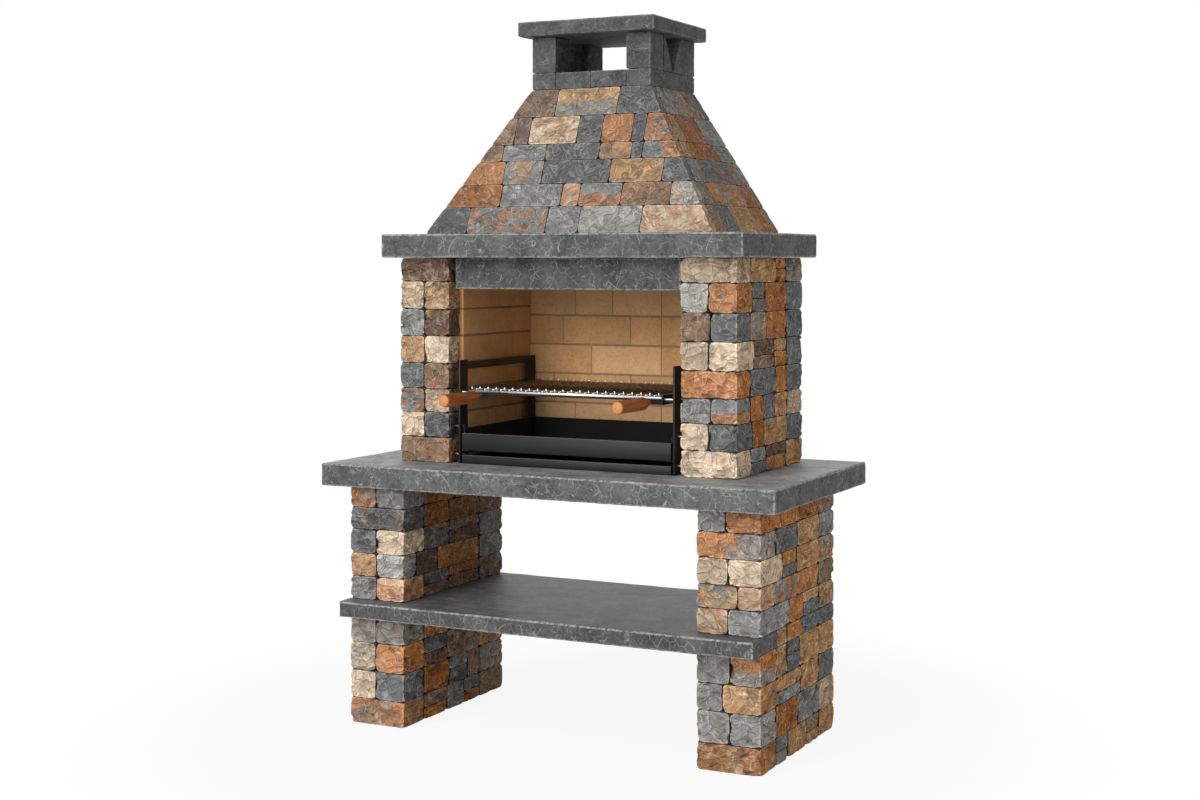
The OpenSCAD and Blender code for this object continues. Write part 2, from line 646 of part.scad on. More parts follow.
// Chimney: ring of slate blocks, corner posts, V-cut side panels and cap
module chimney_base() {
    xs = [-stack_w / 2, -stack_w / 2 + post_w, 0, stack_w / 2 - post_w, stack_w / 2];
    c = slab_edge * 0.8;
    color([0.36, 0.37, 0.37])
        place() {
            for (k = [0 : 3]) {
                yf = (k == 0 || k == 3) ? post_d : post_w;
                xa = xs[k] + (k == 0 ? 0 : joint / 2);
                xb = xs[k + 1] - (k == 3 ? 0 : joint / 2);
                block(1, xa, xb, stack_y0, stack_y0 + yf, stack_z, post_z, c);
                block(1, xa, xb, stack_y1 - yf, stack_y1, stack_z, post_z, c);
            }
            for (s = [-1, 1])
                block(s, stack_w / 2 - post_w, stack_w / 2, stack_y0 + post_d + joint, stack_y1 - post_d - joint,
                    stack_z, post_z, c);
        }
}
module chimney_posts() {
    color([0.37, 0.38, 0.38])
        place()
        for (s = [-1, 1]) {
            block(s, stack_w / 2 - post_w, stack_w / 2, stack_y0, stack_y0 + post_d, post_z, cap_z, slab_edge * 0.8);
            block(s, stack_w / 2 - post_w, stack_w / 2, stack_y1 - post_d, stack_y1, post_z, cap_z, slab_edge * 0.8);
        }
}
module chimney_side_panels() {
    ya = stack_y0 + post_d + joint;
    yb = stack_y1 - post_d - joint;
    ym = (ya + yb) / 2;
    color([0.40, 0.41, 0.41])
        place()
        for (s = [-1, 1])
            along_x(s > 0 ? stack_w / 2 - post_w + 20 : -stack_w / 2, s > 0 ? stack_w / 2 : -stack_w / 2 + post_w - 20) {
                polygon([[ya, post_z], [ym - 1, post_z], [ya + 7, cap_z], [ya, cap_z]]);
                polygon([[yb, post_z], [ym + 1, post_z], [yb - 7, cap_z], [yb, cap_z]]);
            }
}
module cap_slab() {
    color([0.36, 0.37, 0.38])
        place()
        block(1, -stack_w / 2 - cap_over, stack_w / 2 + cap_over, stack_y0 - cap_over - 9, stack_y1 + cap_over - 3,
            cap_z, cap_z + cap_t, slab_edge);
}

// Steel frame: two side frames of flat bar with runners, joined low at the back
module steel_frame() {
    color([0.10, 0.10, 0.10])
        place() {
            for (s = [-1, 1]) {
                a = s > 0 ? frame_x0 : -frame_x1;
                b = s > 0 ? frame_x1 : -frame_x0;
                ra = s > 0 ? frame_x0 - runner_w : -frame_x0;
                rb = s > 0 ? frame_x0 : -frame_x0 + runner_w;
                plain(a, b, frame_y0, frame_y0 + upright_d, top_z, top_z + upright_h);
                plain(a, b, frame_y1 - upright_d, frame_y1, top_z, top_z + top_rail_z);
                plain(a, b, frame_y0, frame_y1, top_z + top_rail_z - top_rail_h, top_z + top_rail_z);
                plain(a, b, frame_y0, frame_y1, run_z - 22, run_z);
                plain(ra, rb, frame_y0, frame_y1, run_z - 4, run_z);
                plain(a, b, frame_y0, frame_y1, coal_rail_z - 10, coal_rail_z);
                plain(ra, rb, frame_y0 + 8, frame_y1, coal_rail_z - 3, coal_rail_z);
            }
            plain(-frame_x0, frame_x0, frame_y1 - bar_t, frame_y1, coal_rail_z - 12, coal_rail_z);
        }
}
// Spacer bushes and screw heads that hold the front uprights to the pillars
module frame_fixings() {
    color([0.30, 0.30, 0.31])
        place()
        for (s = [-1, 1])
            for (z = [top_z + 25, top_z + 108]) {
                translate([s * (frame_x1 + pillar_x0) / 2, frame_y0 + 22, z])
                    rotate([0, 90, 0])
                    cylinder(h = pillar_x0 - frame_x1, r = 3.5, center = true, $fn = 32);
                translate([s * (frame_x0 - 1.5), frame_y0 + 22, z])
                    rotate([0, 90, 0])
                    cylinder(h = 3, r = 5, center = true, $fn = 32);
            }
}

// Open box of folded sheet with a front plate and a lip folded back along its top
module tray(z0, wall_h, front_h) {
    y0 = frame_y0 + sheet;
    y1 = frame_y1 - bar_t - 6;
    z_lip = z0 + front_h - sheet;
    difference() {
        plain(-tray_x, tray_x, y0, y1, z0, z0 + wall_h);
        plain(-tray_x + sheet, tray_x - sheet, y0 + sheet, y1 - sheet, z0 + sheet, z0 + wall_h + 5);
        plain(-tray_x - 5, tray_x + 5, y0 - 5, frame_y0 + lip, z_lip, z_lip + wall_h + 5);
    }
    plain(-tray_x, tray_x, frame_y0, y0, z0, z0 + front_h);
    plain(-tray_x, tray_x, frame_y0, frame_y0 + lip, z_lip, z_lip + sheet);
}
module charcoal_tray() {
    color([0.20, 0.20, 0.20])
        place()
        tray(top_z + coal_z, coal_h, coal_plate);
}
module ash_drawer() {
    color([0.18, 0.18, 0.18])
        place()
        tray(top_z + seat, ash_plate - 5, ash_plate);
}

// Grate of plated wire: rails, cross rods and wires, every second wire turned up at its tip
module grill_grate() {
    step = (grate_w - 18) / (wires - 1);
    wz = rail_z + rail_d / 2 + wire_d / 2 - 0.5;
    color([0.80, 0.80, 0.82])
        place() {
            for (y = [grate_y0, grate_y0 + grate_d])
                translate([-grate_x, y, rail_z])
                    rotate([0, 90, 0])
                    rotate([0, 0, 22.5])
                    cylinder(h = grate_w, d = rail_d / cos(22.5), $fn = 8);
            for (k = [1, 2])
                translate([-grate_x, grate_y0 + grate_d * k / 3, wz - wire_d / 2 - pin_d / 2 + 0.5])
                    rotate([0, 90, 0])
                    rotate([0, 0, 22.5])
                    cylinder(h = grate_w, d = pin_d / cos(22.5), $fn = 8);
            for (i = [0 : wires - 1])
                translate([-grate_w / 2 + 9 + i * step, 0, 0]) {
                    translate([0, grate_y0 - 2, wz])
                        rotate([-90, 0, 0])
                        rotate([0, 0, 22.5])
                        cylinder(h = grate_d + 6, d = wire_d / cos(22.5), $fn = 8);
                    if (i % 2 == 0)
                        translate([0, grate_y0 - 2 - wire_d / 2 + 0.5, wz - wire_d / 2])
                            rotate([0, 0, 22.5])
                            cylinder(h = 10, d = wire_d / cos(22.5), $fn = 8);
                }
        }
}
// Black carrier under the grate: two side plates, a back bar, and a front strip that deepens into handle brackets
module grill_carrier() {
    z_bar = rail_z - rail_d / 2 - seat;
    z_strip = z_bar - strip_h;
    x_bracket = grate_x - handle_in - bracket_past;
    x_taper = x_bracket - bracket_taper;
    color([0.08, 0.08, 0.08])
        place() {
            for (s = [-1, 1])
                plain(s > 0 ? grate_x : -plate_x1, s > 0 ? plate_x1 : -grate_x, grate_y0 - 4, grate_y0 + grate_d + 4,
                    plate_z, plate_z + plate_h);
            along_y(bar_y, bar_y + plate_t)
                polygon([[-grate_x, z_bar], [-grate_x, plate_z], [-x_bracket, plate_z], [-x_taper, z_strip],
                    [x_taper, z_strip], [x_bracket, plate_z], [grate_x, plate_z], [grate_x, z_bar]]);
            plain(-grate_x, grate_x, grate_y0 + grate_d - 10, grate_y0 + grate_d - 6, plate_z, z_bar);
        }
}
// Support pins that stand out of the side plates and rest on the runners
module support_pins() {
    reach = frame_x0 - 2 - plate_x1;
    color([0.78, 0.78, 0.80])
        place()
        for (s = [-1, 1])
            for (y = [grate_y0 + 10, grate_y0 + grate_d - 20])
                translate([s * (plate_x1 + reach / 2), y, pin_z])
                    rotate([0, 90, 0])
                    cylinder(h = reach, d = pin_d, center = true, $fn = 32);
}
// Turned wooden handles screwed to the carrier's front bar
module grill_handles() {
    r = handle_d / 2;
    color([0.72, 0.38, 0.20])
        place()
        for (s = [-1, 1])
            translate([s * (grate_x - handle_in), bar_y, handle_z])
                rotate([90, 0, 0])
                rotate_extrude($fn = 64)
                polygon([[0, 0], [5, 0], [5.5, 1], [6.5, neck_l * 0.25], [9, neck_l * 0.5], [13, neck_l * 0.75],
                    [r * 0.9, neck_l * 0.92], [r * 0.97, neck_l * 0.97], [r, neck_l + 2],
                    [r, neck_l + handle_l - 3], [r - 1, neck_l + handle_l - 0.8], [r - 3, neck_l + handle_l],
                    [0, neck_l + handle_l]]);
}

left_leg_course_1();
left_leg_course_2();
left_leg_course_3();
left_leg_course_4();
left_leg_course_5();
left_leg_course_6();
left_leg_course_7();
left_leg_course_8();
left_leg_course_9();
right_leg_course_1();
right_leg_course_2();
right_leg_course_3();
right_leg_course_4();
right_leg_course_5();
right_leg_course_6();
right_leg_course_7();
right_leg_course_8();
right_leg_course_9();
shelf_slab();
worktop_slab();
left_pillar_course_1();
left_pillar_course_2();
left_pillar_course_3();
left_pillar_course_4();
left_pillar_course_5();
left_pillar_course_6();
left_pillar_course_7();
left_pillar_course_8();
right_pillar_course_1();
right_pillar_course_2();
right_pillar_course_3();
right_pillar_course_4();
right_pillar_course_5();
right_pillar_course_6();
right_pillar_course_7();
right_pillar_course_8();
left_lining();
right_lining();
back_wall();
lintel();
mantel_slab();
hood_shell();
hood_course_1();
hood_course_2();
hood_course_3();
hood_course_4();
hood_course_5();
hood_course_6();
chimney_base();
chimney_posts();
chimney_side_panels();
cap_slab();
steel_frame();
frame_fixings();
charcoal_tray();
ash_drawer();
grill_grate();
grill_carrier();
support_pins();
grill_handles();
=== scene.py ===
import bpy
import bmesh
import math
import random
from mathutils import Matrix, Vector, noise


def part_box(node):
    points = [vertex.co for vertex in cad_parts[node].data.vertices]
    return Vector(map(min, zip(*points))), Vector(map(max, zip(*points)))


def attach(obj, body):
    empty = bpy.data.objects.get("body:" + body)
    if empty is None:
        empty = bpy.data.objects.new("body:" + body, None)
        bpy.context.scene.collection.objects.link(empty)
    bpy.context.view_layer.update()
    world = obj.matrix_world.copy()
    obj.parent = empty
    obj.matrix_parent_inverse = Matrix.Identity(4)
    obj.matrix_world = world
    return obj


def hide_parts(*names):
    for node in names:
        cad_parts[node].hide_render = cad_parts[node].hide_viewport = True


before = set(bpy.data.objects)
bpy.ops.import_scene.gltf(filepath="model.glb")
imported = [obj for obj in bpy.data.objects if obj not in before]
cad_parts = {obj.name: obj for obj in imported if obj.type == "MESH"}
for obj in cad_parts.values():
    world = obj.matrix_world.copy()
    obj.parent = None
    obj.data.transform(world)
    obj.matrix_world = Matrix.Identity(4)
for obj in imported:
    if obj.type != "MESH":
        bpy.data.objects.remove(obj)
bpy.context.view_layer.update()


# Leg stones
# Blocks of split limestone and sandstone, tumbled in a drum so that their edges are round, and laid dry
# in nine courses a leg. Every course is bonded: a corner stone turns onto the side, others lie between.
STONE = {
    "cream": "#e0c9ae", "beige": "#c2ac93", "tan": "#bd9872", "orange": "#bd855b", "rust": "#a06b45",
    "pink": "#cda689", "ash": "#aeaba4", "grey": "#8e8e8b", "dark": "#6a6b6c", "brown": "#8f7660",
    "umber": "#705a48",
}
NEIGHBOUR = {
    "cream": "beige", "beige": "cream", "tan": "orange", "orange": "tan", "rust": "orange", "pink": "tan",
    "ash": "grey", "grey": "ash", "dark": "grey", "brown": "grey", "umber": "brown",
}
LEG_RIGHT = [
    "rust/tan dark grey tan brown tan brown tan",
    "grey/brown grey/ash rust grey brown beige",
    "grey tan/orange tan grey tan/orange dark dark",
    "grey/dark orange^grey tan/brown dark dark tan beige tan",
    "beige/orange grey orange tan/grey dark brown tan/brown",
    "tan/grey pink/beige grey/orange orange/tan tan brown",
    "beige cream orange dark tan/orange grey tan/grey",
    "orange>grey dark tan/brown tan grey",
    "grey orange orange rust beige brown",
]
LEG_LEFT = [
    "orange/grey brown orange/rust grey/brown dark orange tan brown",
    "beige/cream dark rust grey dark brown orange grey/brown",
    "grey/beige orange dark umber brown/grey cream tan",
    "grey/beige grey/brown orange/rust brown umber rust",
    "grey pink/orange dark brown orange brown cream brown/grey",
    "tan/orange ash/grey umber orange/tan umber/dark grey",
    "dark/grey cream dark/orange brown umber tan grey",
    "dark/umber rust rust/brown umber brown",
    "orange/grey grey orange/brown orange dark rust",
]
SHELF_STONES = "tan orange dark dark"
SPARE_WORDS = ["grey", "tan", "orange", "dark", "brown", "beige", "rust", "cream", "umber"]
# Radius of the edges and corners, width of a step of the mesh, share of the split relief, corners struck off
TUMBLED = {"edge": 0.0036, "corner": 0.0105, "step": 0.0054, "split": 1.0, "strikes": 2}
BESIDE_SHELF = {**TUMBLED, "corner": 0.0095}
# What a stone's mesh tells its finish: two colours and their balance, height of the relief, edge wear with a painted
# highlight and painted joint shade, own pattern
LAYERS = {
    "tone": "float_color", "stain": "float_color", "bias": "float", "relief": "float", "rim_wear_light_and_shade": "float",
    "seed": "float_vector",
}
HALF = (0.5, 0.5, 0.5)


def linear(code):
    """An sRGB hex colour as linear red, green, blue and alpha"""
    parts = [int(code[k:k + 2], 16) / 255 for k in (1, 3, 5)]
    return [c / 12.92 if c <= 0.04045 else ((c + 0.055) / 1.055) ** 2.4 for c in parts] + [1.0]


def fill(tree, node, values):
    """Fills a node's inputs, in order or by name, each with a value or with what another node gives"""
    if not isinstance(values, dict):
        values = dict(zip([k for k, socket in enumerate(node.inputs) if socket.enabled], values))
    for name, value in values.items():
        if isinstance(value, bpy.types.Node):
            value = next(socket for socket in value.outputs if socket.enabled)
        if isinstance(value, bpy.types.NodeSocket):
            tree.links.new(value, node.inputs[name])
        else:
            node.inputs[name].default_value = value


def add_node(tree, kind, values=(), **settings):
    """Adds a node with its settings and fills its inputs; a map range reads value, from low, high, to low, high"""
    node = tree.nodes.new("ShaderNode" + kind)
    for name, value in settings.items():
        setattr(node, name, value)
    fill(tree, node, values)
    return node


def new_finish(name):
    """An empty material with its nodes and its shader"""
    finish = bpy.data.materials.new(name)
    finish.use_nodes = True
    return finish, finish.node_tree, finish.node_tree.nodes["Principled BSDF"]


def close_finish(tree, shader, height, values):
    """Fills a finish's shader with its values, and bumps it by its height in metres"""
    bumps = add_node(tree, "Bump", {"Strength": 1.0, "Distance": 1.0, "Height": height})
    fill(tree, shader, {**values, "Normal": bumps})


def cad_mesh(node, whole=True):
    """A copy of a CAD node's mesh, its loose triangles joined and its flat faces made whole"""
    bm = bmesh.new()
    bm.from_mesh(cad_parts[node].data)
    bmesh.ops.remove_doubles(bm, verts=bm.verts, dist=2e-5)
    if whole:
        bmesh.ops.dissolve_limit(bm, angle_limit=math.radians(0.5), verts=bm.verts, edges=bm.edges)
    return bm


def solids_of(node):
    """Every separate solid of a CAD node, as its plan at the bottom and at the top and its two heights"""
    bm = cad_mesh(node, whole=False)
    seen, found = set(), []
    for start in bm.verts:
        if start in seen:
            continue
        group, todo = [], [start]
        seen.add(start)
        while todo:
            v = todo.pop()
            group.append(v.co.copy())
            for e in v.link_edges:
                w = e.other_vert(v)
                if w not in seen:
                    seen.add(w)
                    todo.append(w)
        z0, z1 = min(c.z for c in group), max(c.z for c in group)
        third = 0.3 * (z1 - z0)
        low_part, high_part = [c for c in group if c.z < z0 + third], [c for c in group if c.z > z1 - third]
        low_plan, high_plan = [], []
        for axis, pick in ((0, min), (0, max), (1, min), (1, max)):
            a, b = [pick(part, key=lambda c: round(c[axis], 5)) for part in (low_part, high_part)]
            slope = (b[axis] - a[axis]) / (b.z - a.z)
            low_plan.append(a[axis] + slope * (z0 - a.z))
            high_plan.append(b[axis] + slope * (z1 - b.z))
        found.append((low_plan, high_plan, z0, z1))
    bm.free()
    return found


def stations(length, edge, step):
    """Places along a side: close together at each rounded edge and corner, and even steps between"""
    ends = [0, 0.3 * edge, edge]
    if length > 9 * edge:
        ends += [2 * edge, 3.2 * edge]
    steps = max(1, round((length - 2 * ends[-1]) / step))
    inner = [ends[-1] + (length - 2 * ends[-1]) * k / steps for k in range(1, steps)]
    return ends + inner + [length - e for e in reversed(ends)]


def flake(place, scale, slope):
    """Height of a split face: cells, each a flat flake scar with a tilt of its own, stepping at their borders"""
    spot = place * scale
    heart = noise.voronoi(spot)[1][0]
    return (spot - heart).dot(noise.noise_vector(heart * 3.7)) * slope / scale


def shut_sides(solid, others):
    """A stone's sides that lie against a neighbour, as pairs of axis and direction; top and bottom always do"""
    mine, z0, z1 = solid[0], solid[2], solid[3]
    touching, shared = 0.004, 0.3
    shut = {(2, -1), (2, 1)}
    for other in others:
        theirs = other[0]
        if min(z1, other[3]) - max(z0, other[2]) < shared * (z1 - z0):
            continue
        for axis in (0, 1):
            a, c = 2 * axis, 2 - 2 * axis
            if min(mine[c + 1], theirs[c + 1]) - max(mine[c], theirs[c]) > shared * (mine[c + 1] - mine[c]):
                if abs(mine[a] - theirs[a + 1]) < touching:
                    shut.add((axis, -1))
                if abs(theirs[a] - mine[a + 1]) < touching:
                    shut.add((axis, 1))
    return shut


def add_layers(bm):
    """Gives a mesh the values that the stone's finish reads"""
    return [getattr(bm.verts.layers, kind).new(name) for name, kind in LAYERS.items()]


def lay_stone(course, solid, others, paint, dice, edge, corner, step, split, strikes, notch=None):
    """Adds one stone to a course: a divided cube with tumbled edges, rounder corners and split faces"""
    low, high, z0, z1 = solid
    tone, stain, bias, lean = paint
    wide, deep = low[1] - low[0] + high[1] - high[0], low[3] - low[2] + high[3] - high[2]
    size = Vector((wide / 2, deep / 2, z1 - z0))
    bm = bmesh.new()
    bmesh.ops.create_cube(bm, size=1.0)
    lines = []
    for axis in range(3):
        lines.append(stations(size[axis], edge, step))
        along = [e for e in bm.edges if abs(e.verts[0].co[axis] - e.verts[1].co[axis]) > 1e-4]
        bmesh.ops.subdivide_edges(bm, edges=along, cuts=len(lines[axis]) - 2)
    seed = Vector([dice.uniform(-9, 9) for k in range(3)])
    flats = []
    for k in range(strikes):
        way = Vector([dice.choice((-1, 1)) * dice.uniform(0.25, 1) for k in range(3)]).normalized()
        reach = sum(abs(way[k]) * size[k] / 2 for k in range(3))
        flats.append((way, reach - corner * dice.uniform(0.65, 1.0)))
    t_layer, s_layer, b_layer, r_layer, rim_wear_light_and_shade_layer, d_layer = add_layers(bm)
    shade = dice.uniform(0.9, 1.1)
    tone, stain = [[c * shade for c in linear(STONE[word])[:3]] + [1] for word in (tone, stain)]
    most = 0.46 * min(size)
    shut = shut_sides(solid, others)
    for v in bm.verts:
        p = Vector([lines[k][round((v.co[k] + 0.5) * (len(lines[k]) - 1))] - size[k] / 2 for k in range(3)])
        # The radius grows towards each corner and wanders by a third every 30 mm or so
        far = max(size[k] / 2 - abs(p[k]) for k in range(3))
        near = max(0, 1 - far / (1.6 * corner))
        r = edge + (corner - edge) * near * near * (3 - 2 * near)
        r = min(most, r * (1 + 0.35 * noise.noise(p * 32 + seed)))
        inner = Vector([max(-size[k] / 2 + r, min(size[k] / 2 - r, p[k])) for k in range(3)])
        away = (p - inner).normalized()
        q = inner + away * r
        # Rim value: 0 on a face, 1 on an open edge, painted pale there for wear and as a painted highlight; below 0
        # where a neighbour lies against it, painted dark there as shade in the joint
        sides = [(k, 1 if p[k] > 0 else -1) for k in range(3) if size[k] / 2 - abs(p[k]) < 1e-6]
        buried = [place in shut for place in sides]
        worn = min(1, 8 * (p - q).length / r)
        if any(buried):
            worn = -1 if all(buried) else -0.2
        # Flake scars about 40 and 17 mm wide and a grain under 1 mm high are cut in from the open faces
        open_face = away.y ** 2 + 0.7 * away.x ** 2 + 0.15 * away.z ** 2
        rough = flake(q + seed, 23, 0.5) + flake(q - seed, 58, 0.5) + 0.0007 * noise.noise(q * 150 + seed)
        q += away * min(0.0, split * open_face * (rough - 0.0010))
        for way, reach in flats:
            over = q.dot(way) - reach
            if over > 0:
                q -= way * over * 0.9
        f = [q[k] / size[k] + 0.5 for k in range(3)]
        v[t_layer], v[s_layer], v[d_layer] = tone, stain, seed
        v[b_layer] = bias + lean[0] * (f[0] - 0.5) + lean[1] * (f[2] - 0.5)
        # A relief of 2.5 mm counts as 1
        v[r_layer] = max(-1, min(1, rough * 400))
        v[rim_wear_light_and_shade_layer] = worn
        here = [low[k] + (high[k] - low[k]) * f[2] for k in range(4)]
        v.co = (here[0] + (here[1] - here[0]) * f[0], here[2] + (here[3] - here[2]) * f[1], z0 + (z1 - z0) * f[2])
        if notch and abs(v.co.x) < notch[0] and v.co.y > notch[1]:
            v.co.y = notch[1]
    block = bpy.data.meshes.new("block")
    bm.to_mesh(block)
    bm.free()
    course.from_mesh(block)
    bpy.data.meshes.remove(block)


def read_paint(word, dice):
    """A stone's two colours from its word: a/b is mixed, a>b changes left to right, a^b top to bottom"""
    for mark, lean in (("/", (0, 0)), (">", (11, 0)), ("^", (0, -11))):
        if mark in word:
            one, two = word.split(mark)
            return one, two, dice.uniform(-0.5, 0.2), lean
    return word, NEIGHBOUR[word], dice.uniform(-1.5, -0.8), (0, 0)


def finish_piece(bm, name, finish, slot, body, *nodes):
    """Makes a piece from a bmesh, at the origin, with its finish, and puts it in place of its CAD nodes"""
    mesh = bpy.data.meshes.new(name)
    bm.to_mesh(mesh)
    bm.free()
    mesh.shade_smooth()
    piece = bpy.data.objects.new(name, mesh)
    bpy.context.scene.collection.objects.link(piece)
    mesh.materials.append(finish)
    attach(piece, body)
    if nodes:
        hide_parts(*nodes)
    return piece


def new_course():
    """An empty mesh with the values that the stone's finish reads"""
    course = bmesh.new()
    add_layers(course)
    return course


def warp(tree, place, scale, reach):
    """A place pushed about by slow swirls, so that the cells drawn on it have curved borders"""
    swirl = add_node(tree, "TexNoise", {"Vector": place, "Scale": scale, "Detail": 1, "Roughness": 0.5})
    centred = add_node(tree, "VectorMath", (swirl.outputs["Color"], HALF), operation="SUBTRACT")
    return add_node(tree, "VectorMath", (centred, (reach,) * 3, place), operation="MULTIPLY_ADD")


def stone_finish(name, rough, level, patch_size, cell, curl, bump, wide):
    """Split stone: two colours in patches, tilted flake scars, ridges with a painted highlight on top and painted
    shade on one side, rims pale from bruising and a painted highlight, painted shade in recesses and joints, side
    faces painted lighter and more saturated
    """
    finish, tree, shader = new_finish(name)
    read = {layer: add_node(tree, "Attribute", attribute_name=layer).outputs for layer in LAYERS}
    rim_wear_light_and_shade = read["rim_wear_light_and_shade"]["Fac"]
    place = add_node(tree, "TexCoord").outputs["Object"]
    own = add_node(tree, "VectorMath", (place, read["seed"]["Vector"]), operation="ADD")
    # Patches of the second colour, a few centimetres across, with ragged borders
    spread = add_node(tree, "TexNoise", {"Vector": own, "Scale": 1 / patch_size, "Detail": 4, "Roughness": 0.5,
                                         "Distortion": 1.4})
    pushed = add_node(tree, "Math", (spread, 9.0, read["bias"]["Fac"]), operation="MULTIPLY_ADD")
    patch = add_node(tree, "MapRange", (pushed, 4.2, 5.5, 0.0, 0.85))
    body = add_node(tree, "Mix", (patch, read["tone"]["Color"], read["stain"]["Color"]), data_type="RGBA")
    # Flake scars: warped cells in two sizes, wider than tall, each flat with its own tilt and shade. Ridges
    # follow their borders, with a painted highlight on top and painted shade below; each size stands where the other
    # has worn away
    bent = add_node(tree, "VectorMath", (warp(tree, own, 0.5 / cell, curl * cell), (0.78, 0.78, 1.4)),
                    operation="MULTIPLY")
    sort = add_node(tree, "TexNoise", {"Vector": own, "Scale": 0.55 / cell, "Detail": 2})
    shades, heights, crest_highlights, lee_shades = [], [], [], []
    for size, slope, none, full in ((cell, 1.0, 0.42, 0.52), (cell * 0.52, 0.7, 0.55, 0.44)):
        cells = add_node(tree, "TexVoronoi", {"Vector": bent, "Scale": 1 / size}).outputs
        border = add_node(tree, "TexVoronoi", {"Vector": bent, "Scale": 1 / size}, feature="DISTANCE_TO_EDGE")
        tilt = add_node(tree, "VectorMath", (cells["Color"], HALF), operation="SUBTRACT")
        reach = add_node(tree, "VectorMath", (bent, cells["Position"]), operation="SUBTRACT")
        plane = add_node(tree, "VectorMath", (tilt, reach), operation="DOT_PRODUCT")
        heights.append(add_node(tree, "Math", (plane, slope * bump), operation="MULTIPLY"))
        shades.append(add_node(tree, "MapRange", (cells["Color"], 0, 1, 0.86, 1.13)))
        where = add_node(tree, "MapRange", (sort, none, full, 0.05, 1.0))
        line = add_node(tree, "MapRange", (border, 0.3 * wide / size, wide / size, 1.0, 0.0))
        crest_highlights.append(add_node(tree, "Math", (line, where), operation="MULTIPLY"))
        shadow = add_node(tree, "MapRange", (border, 1.2 * wide / size, 3.2 * wide / size, 1.0, 0.0))
        above = add_node(tree, "VectorMath", (reach, (-0.5, -0.5, 1.0)), operation="DOT_PRODUCT")
        below = add_node(tree, "MapRange", (above, 0.0, 0.3 * size))
        shadow = add_node(tree, "Math", (shadow, below), operation="MULTIPLY")
        lee_shades.append(add_node(tree, "Math", (shadow, where), operation="MULTIPLY"))
    # Long cracks, painted dark as shade in the crack, with a painted highlight on one lip
    fold = add_node(tree, "TexNoise", {"Vector": own, "Scale": 9, "Detail": 2, "Roughness": 0.5, "Distortion": 1.2})
    lines = []
    for middle, ridges in ((0.5, lee_shades), (0.522, crest_highlights)):
        offset = add_node(tree, "Math", (fold, middle), operation="SUBTRACT")
        offset = add_node(tree, "Math", (offset,), operation="ABSOLUTE")
        crack = add_node(tree, "MapRange", (offset, 0.003, 0.011, 1.0, 0.0))
        both = add_node(tree, "Math", ridges, operation="MAXIMUM")
        lines.append(add_node(tree, "Math", (both, crack), operation="MAXIMUM"))
    lee_shade, crest_highlight = lines
    # Grain down to about 2 mm
    grain = add_node(tree, "TexNoise", {"Vector": own, "Scale": 90, "Detail": 6, "Roughness": 0.75,
                                        "Distortion": 0.5})
    mottle = add_node(tree, "MapRange", (grain, 0.32, 0.68, 0.78, 1.2))
    # Faint upright saw lines on the faces that look sideways; they lighten those faces by about a sixth on average,
    # painted light, and those faces are also painted more saturated, painted shade
    upright = add_node(tree, "VectorMath", (own, (1.0, 1.0, 0.1)), operation="MULTIPLY")
    saw = add_node(tree, "TexNoise", {"Vector": upright, "Scale": 190, "Detail": 3})
    saw_lines_and_side_light = add_node(tree, "MapRange", (saw, 0.35, 0.65, 0.96, 1.34))
    face = add_node(tree, "SeparateXYZ", (add_node(tree, "NewGeometry").outputs["Normal"],))
    turned = add_node(tree, "Math", (face,), operation="ABSOLUTE")
    sideways = add_node(tree, "MapRange", (turned, 0.6, 0.9))
    saw_lines_and_side_light = add_node(tree, "Mix", (sideways, 1.0, saw_lines_and_side_light), data_type="FLOAT")
    calm = add_node(tree, "MapRange", (sideways, 0, 1, 1.0, 1.4))
    side_shade_saturation = add_node(tree, "MapRange", (sideways, 0, 1, 1.0, 1.18))
    # Darker in the low parts of the relief and lighter on its high points: painted shade
    recess_shade = add_node(tree, "MapRange", (read["relief"]["Fac"], -1.0, 1.0, 0.93 * level, 1.04 * level))
    light = mottle
    for factor in (*shades, recess_shade, saw_lines_and_side_light):
        light = add_node(tree, "Math", (light, factor), operation="MULTIPLY")
    whole = add_node(tree, "Mix", (1.0, body, light), data_type="RGBA", blend_type="MULTIPLY")
    # Side faces painted more saturated: painted shade
    whole = add_node(tree, "HueSaturation", {"Saturation": side_shade_saturation, "Color": whole})
    # Crests and rims are painted pale, for bruising and as a painted highlight; lees and joints take painted shade
    bruise_and_highlight = add_node(tree, "Math", (crest_highlight, calm), operation="MULTIPLY")
    bruise_and_highlight = add_node(tree, "Math", (bruise_and_highlight, 0.7), operation="MULTIPLY")
    # Pale rims: wear, and a painted highlight
    rubbed_and_lit_rim = add_node(tree, "Math", (rim_wear_light_and_shade, mottle), operation="MULTIPLY", use_clamp=True)
    bruise_and_highlight = add_node(tree, "Math", (rubbed_and_lit_rim, 1.0, bruise_and_highlight), operation="MULTIPLY_ADD", use_clamp=True)
    pale_bruise_and_highlight = add_node(tree, "Mix", (1.0, whole, (1.85, 1.85, 1.85, 1)), data_type="RGBA", blend_type="MULTIPLY")
    pale_bruise_and_highlight = add_node(tree, "Mix", (0.25, pale_bruise_and_highlight, linear("#dcd3c8")), data_type="RGBA")
    aged_and_painted_light = add_node(tree, "Mix", (bruise_and_highlight, whole, pale_bruise_and_highlight), data_type="RGBA")
    painted_lee_shade = add_node(tree, "Math", (lee_shade, calm), operation="MULTIPLY")
